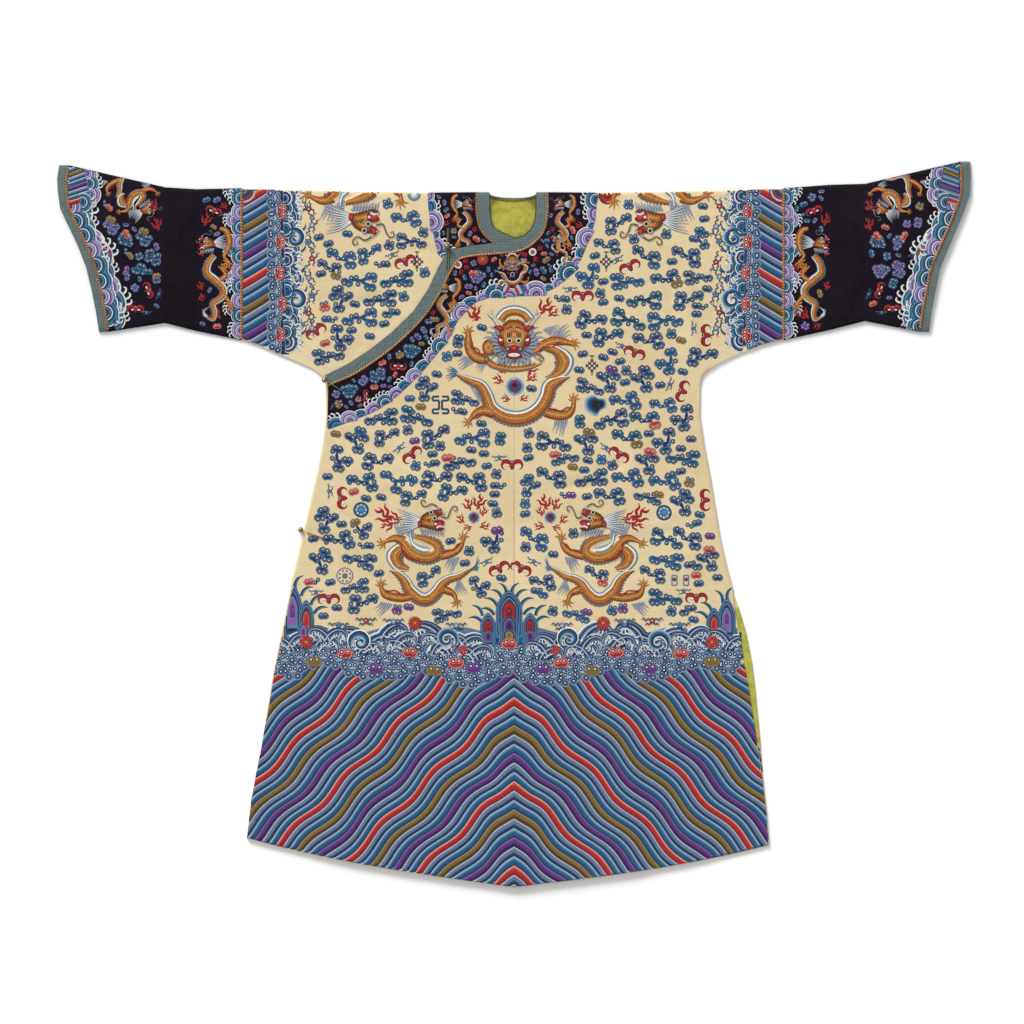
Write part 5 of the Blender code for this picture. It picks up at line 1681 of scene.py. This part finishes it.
YOKE_SCALE_PITCH = 27
YOKE_STRIPES = ("red", "mist", "mid", "purple", "pale", "teal", "mid")
YOKE_MIDDLE = -4
YOKE_DRAGONS = (          # x, height, turn, side and size
    (-103, 612, 8, -1, 0.62), (101, 612, -8, 1, 0.62), (-140, 440, -14, 1, 0.66), (98, 562, 16, 1, 0.38),
)
YOKE_PEARLS = ((-114, 530), (38, 556))


def bloom():
    """A red chrysanthemum."""
    made = Motif()
    for ring, reach in ((14, 13), (10, 9)):
        for k in range(ring):
            a = 2 * math.pi * k / ring
            made.ribbon(((2 * math.cos(a), 2 * math.sin(a)), (reach * math.cos(a), reach * math.sin(a))),
                        (2.5, 4.2), ("crimson", "coral", "red"), lift=0.3 + (13 - reach) * 0.06, dome=0.4,
                        count=4)
    return made.disc(0, 0, 3.4, ("gold", "straw"), lift=1.0)


def yoke_scales():
    """Wave scales along the yoke's outer edge, every third one tall."""
    made = Motif()
    for path in (YOKE_EDGE_LEFT, YOKE_EDGE_RIGHT[::-1]):
        for number, (x, y, turn) in enumerate(along(path, YOKE_SCALE_PITCH)):
            tone = TONE_PAIR[number % 2]
            size = 1.12 + 0.2 * math.sin(2.3 * number)
            if number % 3:
                made.add(scallop(tone, claws=number % 3 == 1), x, y, turn + 180, size=size,
                         flip=1 if number % 2 else -1, up=0.12 * (number % 2))
            else:
                made.add(shell_wave(tone, claws=number % 2 == 0), x, y, turn + 172, size=0.95 * size, up=0.2)
    return made


def yoke_work():
    """The dark yoke: wave scales along its edge, dragons, pearls, a flower and a strip of stripes."""
    made = yoke_scales()
    for side in (-1, 1):
        for k, tone in enumerate(YOKE_STRIPES):
            x = 4 + 6.5 * k
            stripe = flipped(side, ((x, 489 - 0.2 * k), (x + 9, 471)), YOKE_MIDDLE)
            made.ribbon(stripe, 5.5, (tone, tone), lift=0.5, dome=0.3, count=4)
    made.add(front_dragon(), YOKE_MIDDLE, 530, size=0.27, up=0.2)
    for x, y, turn, side, size in YOKE_DRAGONS:
        made.add(long_dragon(), x, y, turn, size=size, flip=side, up=0.2)
    for x, y in YOKE_PEARLS:
        made.disc(x, y, 8, ("white", "mist", "red", "coral"), lift=0.5)
        for turn in (30, 110, 200, 290):
            made.add(flame(), x + 11 * math.cos(math.radians(turn)), y + 9 * math.sin(math.radians(turn)),
                     turn - 90, size=0.5)
    made.add(bloom(), -64, 541, size=0.9)
    made.add(bat(), -236, 322, 180, size=0.8, up=0.2)
    made.add(bat(), -302, 262, 90, size=0.6, up=0.2)
    return made


SLEEVE_WAVES = ("shell", "shell", "crest", "shell", "curl", "shell", "crest", "shell", "shell", "crest",
                "curl", "shell", "crest", "shell", "shell", "crest")
SLEEVE_STRIPES = 20
SLEEVE_STRIPE_FOOT = 330
SLEEVE_STRIPE_PITCH = 18.6
SLEEVE_STRIPE_LENGTH = 66
SLEEVE_ARCS = ((24, "mist"), (18, "red"), (12, "blue"), (6, "sky"))      # radius and tone
SLEEVE_NAVY_X = 470
SLEEVE_CRESTS_Y = (372, 690, 21)         # first, last and step
SLEEVE_ORNAMENTS_Y = (400, 680, 35)


def sleeve_stripes(side):
    """Short stripes beside the cord of the upper sleeve, with round ones at the shoulder."""
    rows = (np.arange(SLEEVE_STRIPES)[:, None] + 1 - BAND_EDGES[None, ::-1]).ravel()
    u = np.linspace(0, 1, 9)[None, :]
    reach = CORD_X[side] - 2 - SLEEVE_STRIPE_LENGTH * u
    y = SLEEVE_STRIPE_FOOT + rows[:, None] * SLEEVE_STRIPE_PITCH + 36 * u + 5 * u * u
    foot_x, foot_y = zip(*SLEEVE_FOOT[side])
    foot = np.interp(-reach, [-x for x in foot_x], foot_y) + 1.6
    y = np.clip(y, foot, SLEEVE_TOP - 0.6)
    points = np.stack([side * np.broadcast_to(reach, y.shape), y], -1)
    thread = np.stack(np.broadcast_arrays(rows[:, None] * 13, u * 60), -1)
    order = np.arange(len(rows))
    lifts = BAND_LIFTS[BANDS - 1 - order % BANDS][:, None]
    stripes = (SLEEVE_STRIPES - order[1:] // BANDS) % len(STRIPE_CYCLE)
    tones = [TONE[STRIPE_CYCLE[stripe][BANDS - 1 - k % BANDS]] for stripe, k in zip(stripes, order[1:])]
    made = Motif().grid(points, lifts, thread, np.array(tones)[:, None])
    for radius, tone in SLEEVE_ARCS:
        arc = [(side * (CORD_X[side] - 3 - radius * math.cos(a)), SLEEVE_TOP - 1 - radius * math.sin(a))
               for a in np.radians((4, 34, 64, 88))]
        made.ribbon(arc, 6.4, (tone, tone, "navy"), lift=1.0, dome=0.4, count=9)
    return made


def sleeve_water(side):
    """Standing water round the upper sleeve: stripes, foam, crests and sprays."""
    made = sleeve_stripes(side)
    navy = flipped(side, ((SLEEVE_NAVY_X, 347), (SLEEVE_NAVY_X, SLEEVE_TOP - 3)))
    made.ribbon(navy, 22, ("mid", "navy", "blue", "navy"), lift=0.1, dome=0.3, count=20)
    faces = foam_face(), foam_face(BLUE_TO_TEAL), foam_face()
    for number, y in enumerate(np.arange(*SLEEVE_CRESTS_Y)):
        lean = RANDOM.uniform(-3, 3)
        turn = side * (74 + RANDOM.uniform(-14, 10))
        kind = SLEEVE_WAVES[number]
        odd = number % 2
        if kind == "crest":
            made.add(crest(-side, ("mid", "slate")[odd]), side * (452 + lean), y + 6, turn, size=1.15, up=0.1)
        elif kind == "curl":
            made.add(big_curl(side), side * (447 + lean), y + 2, side * 60, size=1.05,
                     swap={"mid": "teal"}, up=0.3)
        else:
            made.add(shell_wave(("blue", "teal")[odd]), side * (464 + lean), y + 2, side * 86, size=1.12,
                     up=0.2 + 0.1 * (number % 3))
        made.add(faces[number % 3], side * (484 + lean), y + RANDOM.uniform(-3, 3), side * 90, size=0.95,
                 up=0.6)
        if number % 3 == 1:
            made.add(HEAD, side * (474 + lean), y - 6, side * 90, size=1.2, swap=BLUE_TO_RED, up=1.0)
        made.add(frond(side), side * (437 + lean), y - 6, side * (62 + 30 * odd), size=0.75 + 0.3 * odd)
    for number, y in enumerate(np.arange(*SLEEVE_ORNAMENTS_Y)):
        made.add(ornament(("ring", "lozenge", "leaf")[number % 3]), side * (412 + 7 * (number % 2)),
                 y + RANDOM.uniform(-5, 5), 70 + 45 * (number % 2), size=1.15)
    return made


CUFF_FOOT = ((830, 406), (712, 426))     # the seam under the cuff, kept free of clouds
CUFF_FOOT_WIDTH = 22
CUFF_SCALE_PITCH = 33
CUFF_SCALE_TOP = 650
BAND_SCALES_Y = (398, 690, 30)           # first, last and step
CUFF_STRIPES = 8
CUFF_STRIPE_PITCH = 9.4
CUFF_STRIPE_START = (908, 655)
CUFF_CORNER = ((880, 656, "teal"), (862, 672, "lilac"), (866, 694, "teal"), (870, 715, "lilac"))
CUFF_BATS = ((836, 560, 40), (746, 478, 70), (772, 440, 0), (612, 640, 20))
CUFF_FLAMES = ((726, 600, 10), (632, 610, -20), (628, 560, 10), (730, 640, 30), (600, 420, 40))


def cuff_scales(side):
    """Wave scales along the cuff's edging and along the cord of the dark band."""
    made = Motif()
    for number, (x, y, turn) in enumerate(along(CUFF_EDGE[side], CUFF_SCALE_PITCH)):
        step = number % 3
        if y < CUFF_SCALE_TOP:
            made.add(shell_wave(TONE_PAIR[step == 1], claws=step != 1), side * (x - 17), y - 12,
                     side * (turn + 165), size=1.15 + 0.2 * step, flip=side)
        made.add(shell_wave(TONE_PAIR[step == 2], claws=number % 4 == 1), side * (x - 1), y,
                 side * (turn + 196), size=1.3, flip=side, up=0.3)
    cord = CORD_X[side]
    for number, y in enumerate(np.arange(*BAND_SCALES_Y)):
        if number % 2:
            made.add(shell_wave(TONE_PAIR[number // 2 % 2]), side * (cord + 15), y + 14, -side * 84,
                     size=0.8, flip=side)
        made.add(shell_wave(TONE_PAIR[1 - number % 2], claws=number % 3 == 0), side * (cord + 2), y,
                 -side * 80, size=0.92, flip=side, up=0.25)
    return made


def cuff_work(side):
    """The cuff and the dark band: scales along the cords, dragons, bats and short stripes."""
    made = cuff_scales(side)
    start_x, start_y = CUFF_STRIPE_START
    for k in range(CUFF_STRIPES):
        rise = CUFF_STRIPE_PITCH * k
        stripe = flipped(side, ((start_x, start_y + rise), (start_x - 42 + 1.5 * k, start_y + 13 + rise)))
        made.ribbon(stripe, CUFF_STRIPE_PITCH, STRIPE_CYCLE[(3 + k * 2) % len(STRIPE_CYCLE)], lift=1.3,
                    dome=0.5, count=6)
    for x, y, tone in CUFF_CORNER:
        made.add(shell_wave(tone, claws=tone == "teal"), side * x, y, side * 80, size=0.95, flip=side, up=2.0)
    made.add(side_dragon(with_pearl=False), side * 780, 668, 150 * side, size=0.52, flip=side, up=0.2)
    made.add(long_dragon(), side * 606, 508, 0, size=0.98, flip=-side, up=0.2)
    for x, y, turn in CUFF_BATS:
        made.add(bat(), side * x, y, side * turn, size=0.8, up=0.1)
        made.add(ornament("leaf"), side * (x - 22), y - 8, turn, size=0.6)
    for x, y, turn in CUFF_FLAMES:
        made.add(flame(), side * x, y, turn)
    return made


CORD_ENDS_Y = (683, 380)
THREAD_GAP = 2.2          # from their middle to each of the two dark threads at the neck button
THREAD_RUN = ((-134.5, 606), (-133.5, 560), (-134.5, 519))


def cords():
    """Gold cords along the seams of the dark pieces and the edgings."""
    made = Motif()
    for side in (-1, 1):
        made.add(rope([(side * CORD_X[side], y) for y in CORD_ENDS_Y], width=4.2, up=1.6))
        made.add(rope(flipped(side, CUFF_EDGE[side]), width=4.2, up=1.6))
    made.add(rope(COLLAR_SEAM_LEFT))
    made.add(rope(COLLAR_SEAM_RIGHT, width=3.0))
    for shift in (-THREAD_GAP, THREAD_GAP):
        made.ribbon([(x + shift, y) for x, y in THREAD_RUN], 2.0, ("umber", "umber"), lift=0.5, dome=0.8,
                    count=24)
    return made


# ----------------------------------------------------------------- placing
DROP_FROM = 0.2           # rays fall on the cloth from this height
STEP_LIMIT = 0.0014       # a stitch never bridges a step higher than this
LININGS = ("slit_lining_left", "neck_lining")
PLAIN_BANDS = ("sleeve_plain_left", "sleeve_plain_right")
EDGINGS = ("cuff_edging_left", "cuff_edging_right", "flap_edging", "neck_edging_left", "neck_edging_right")
BARE = {"cords": LININGS, "water": LININGS + PLAIN_BANDS, "needlework": LININGS + EDGINGS + PLAIN_BANDS}
SEAM_STEPS = ((0.0004, 0), (-0.0004, 0), (0, 0.0004), (0, -0.0004))


class Cloths:
    """All the shells as one surface that patterns are laid on."""

    def __init__(self, shells):
        self.names = list(shells)
        points, faces, owner = [], [], []
        shift = 0
        for number, name in enumerate(self.names):
            p, f = shells[name]
            points.append(p)
            faces.append(f + shift)
            owner.append(np.full(len(f), number))
            shift += len(p)
        self.owner = np.concatenate(owner)
        self.tree = BVHTree.FromPolygons(np.concatenate(points).tolist(),
                                         np.concatenate(faces).tolist(), all_triangles=True)

    def under(self, x, y):
        """Height of the cloth under each point, and the number of its piece."""
        heights = np.zeros(len(x))
        owners = np.full(len(x), -1)
        down = Vector((0, 0, -1))
        for k, place in enumerate(zip(x.tolist(), y.tolist())):
            hit = self.tree.ray_cast(Vector((*place, DROP_FROM)), down)
            if hit[0] is not None:
                heights[k] = hit[0].z
                owners[k] = self.owner[hit[2]]
        return heights, owners

    def lay(self, motif, label, finishes):
        """Lay a motif on the cloths and make one piece of needlework for each that it covers."""
        points, lift, thread, faces, tones = motif.arrays()
        heights, owners = self.under(points[:, 0], points[:, 1])
        doubtful = np.unique(faces[np.ptp(heights[faces], axis=1) > STEP_LIMIT])
        middle = points[faces].mean(axis=1)
        face_owner = self.under(middle[:, 0], middle[:, 1])[1]
        for dx, dy in SEAM_STEPS:
            near, owner = self.under(points[doubtful, 0] + dx, points[doubtful, 1] + dy)
            higher = near > heights[doubtful]
            owners[doubtful[higher]] = owner[higher]
            heights[doubtful[higher]] = near[higher]
        step = np.ptp(heights[faces], axis=1)
        bare = np.isin(face_owner, [self.names.index(name) for name in BARE[label]])
        fits = (step < STEP_LIMIT) & (owners[faces] >= 0).all(axis=1) & (face_owner >= 0) & ~bare
        placed = np.column_stack([points, heights + lift])
        made = {}
        for number in np.unique(face_owner[fits]):
            name = self.names[number]
            chosen = fits & (face_owner == number)
            made[name] = stitched(label + "_" + name, placed, thread, faces[chosen], tones[chosen], finishes)
        return made


def stitched(name, points, thread, faces, tones, finishes):
    """One needlework mesh, with its tones as a colour attribute and its threads as UV."""
    used, inverse = np.unique(faces, return_inverse=True)
    faces = inverse.reshape(faces.shape)
    points = points[used]
    thread = thread[used]
    a = points[faces[:, 2]] - points[faces[:, 0]]
    b = points[faces[:, 3]] - points[faces[:, 1]]
    wrong = a[:, 0] * b[:, 1] - a[:, 1] * b[:, 0] < 0
    faces[wrong] = faces[wrong][:, ::-1]
    piece = mesh_object(name, points, faces, (finishes["floss"], finishes["gold"]))
    mesh = piece.data
    colors = np.array(list(THREADS.values()))[tones]
    corner = np.repeat(np.column_stack([colors, np.ones(len(colors))]), 4, axis=0)
    mesh.color_attributes.new("tone", "FLOAT_COLOR", "CORNER").data.foreach_set("color", corner.ravel())
    mesh.uv_layers.new(name="thread").data.foreach_set("uv", thread[faces].reshape(-1, 2).ravel())
    gold = np.isin(tones, [TONE[t] for t in GOLD_TONES])
    mesh.polygons.foreach_set("material_index", gold.astype(np.int32))
    mesh.polygons.foreach_set("use_smooth", np.ones(len(faces), dtype=bool))
    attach(piece, "root")
    return piece


# ------------------------------------------------------------------- stage
CAMERA_MIDDLE = (-0.0041, 0.0255)
CAMERA_SPAN = 2.089
CAMERA_HEIGHT = 3.0
FLOOR = 40
WHITE = (0.93, 0.93, 0.93, 1)
ROOM_STRENGTH = 0.62
SUN_STRENGTH = 4.0
SUN_SPREAD = 24
SUN_TILT = -66            # degrees from straight down, from the shoulder side
SUN_TURN = 28


def make_stage():
    """Pale floor, soft light from the shoulder side and the camera straight above."""
    scene = bpy.context.scene
    scene.view_settings.view_transform = "Standard"
    paper = Shader("pale_floor", roughness=0.9)
    paper.main.inputs["Base Color"].default_value = WHITE
    corners = np.array([(-FLOOR, -FLOOR, 0), (FLOOR, -FLOOR, 0), (FLOOR, FLOOR, 0), (-FLOOR, FLOOR, 0)])
    floor = mesh_object("floor", corners, np.array([(0, 1, 2, 3)]), (paper.material,))
    world = bpy.data.worlds.new("soft_room")
    world.use_nodes = True
    world.node_tree.nodes["Background"].inputs["Color"].default_value = (1, 1, 1, 1)
    world.node_tree.nodes["Background"].inputs["Strength"].default_value = ROOM_STRENGTH
    scene.world = world
    light = bpy.data.lights.new("window", "SUN")
    light.energy = SUN_STRENGTH
    light.angle = math.radians(SUN_SPREAD)
    lamp = bpy.data.objects.new("window", light)
    lamp.rotation_euler = (math.radians(SUN_TILT), 0, math.radians(SUN_TURN))
    scene.collection.objects.link(lamp)
    camera = bpy.data.cameras.new("camera")
    camera.type = "ORTHO"
    camera.ortho_scale = CAMERA_SPAN
    eye_point = bpy.data.objects.new("camera", camera)
    eye_point.location = (*CAMERA_MIDDLE, CAMERA_HEIGHT)
    scene.collection.objects.link(eye_point)
    scene.camera = eye_point


FOAM_ENDS = (484, 462)    # millimetres from the centre, on the wearer's right and left
SKIRT_DRAGONS = (-4, 194, -64)        # middle, distance from it, and height
SHOULDER_DRAGONS = (-14, 325, 702)
SHOULDER_DRAGON_SIZE = 1.15
CHEST_DRAGON = (-2, 356)
CREAM_CLOTHS = ("body_left", "body_right", "front_flap")
YOKE_CLOTHS = ("yoke_left", "yoke_right")
BAND_CLOTHS = ("sleeve_band_left", "sleeve_band_right")
CUFF_CLOTHS = ("cuff_left", "cuff_right")
SHARP = 40                # degrees, the edges of the cloth


def remove_start_objects():
    """Take away what a new Blender file holds."""
    for name in ("Cube", "Light", "Camera"):
        if name in bpy.data.objects:
            bpy.data.objects.remove(bpy.data.objects[name], do_unlink=True)


def patterns(cloth):
    """All the patterns on one plane: the field, the water and the cords."""
    water = Motif().add(mountains()).add(waves()).add(foam(*FOAM_ENDS)).add(treasures())
    field = Motif().add(yoke_work()).add(cream_details())
    for side in (-1, 1):
        water.add(skirt_stripes(side)).add(sleeve_water(side))
        field.add(cuff_work(side))
        middle, reach, y = SKIRT_DRAGONS
        field.add(side_dragon(), middle + side * reach, y, flip=-side)
        middle, reach, y = SHOULDER_DRAGONS
        field.add(side_dragon(with_pearl=False), middle + side * reach, y, 180, size=SHOULDER_DRAGON_SIZE,
                  flip=side)
    field.add(front_dragon(), *CHEST_DRAGON)
    cream = Ground(cloth, CREAM_CLOTHS, inset=3)
    dark = Ground(cloth, YOKE_CLOTHS + BAND_CLOTHS + CUFF_CLOTHS, inset=2)
    edges = cords()
    for side in (-1, 1):
        dark.take(Motif().ribbon(flipped(side, CUFF_FOOT), CUFF_FOOT_WIDTH, ("night",)), 0)
    for work in (water, field, edges):
        cream.take(work, 0)
        dark.take(work, 1)
    field.add(filled(cream, CREAM_AREA, CREAM_PASSES))
    field.add(filled(dark, DARK_AREA, DARK_PASSES))
    for names, works, area, passes in ((YOKE_CLOTHS, (edges, field), YOKE_AREA, YOKE_PASSES),
                                       (BAND_CLOTHS, (edges, field, water), BAND_AREA, BAND_PASSES)):
        ground = Ground(cloth, names, inset=1)
        for work in works:
            ground.take(work, 0)
        field.add(filled(ground, area, passes))
    return field, water, edges


def dress(shells, finishes):
    """Put each shell in the place of its node, in its finish, and hide the node."""
    for node, (points, faces) in shells.items():
        width, length, area, finish = CLOTHS[node][3:]
        piece = mesh_object(node + "_cloth", points, faces, (finishes[finish],))
        piece.data.shade_smooth()
        piece.data.set_sharp_from_angle(angle=math.radians(SHARP))
        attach(piece, "root")
        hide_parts(node)


def finish_fittings(finishes):
    """Brass for the buttons and silk cord for their loops, on the CAD solids themselves."""
    for node, solid in frame["nodes"].items():
        for start, kind in (("button_", "brass"), ("loop_", "cord")):
            if node.startswith(start):
                solid.data.materials.clear()
                solid.data.materials.append(finishes[kind])


def main():
    """Cloth, needlework, fittings and stage, in this order."""
    remove_start_objects()
    finishes = make_finishes()
    shells = {node: shell(node) for node in CLOTHS}
    cloth = Cloths({n: s for n, s in shells.items() if n != "underlap"})
    field, water, edges = patterns(cloth)
    stitches = [cloth.lay(field, "needlework", finishes), cloth.lay(water, "water", finishes),
                cloth.lay(edges, "cords", finishes)]
    dress(shells, finishes)
    finish_fittings(finishes)
    make_stage()


main()
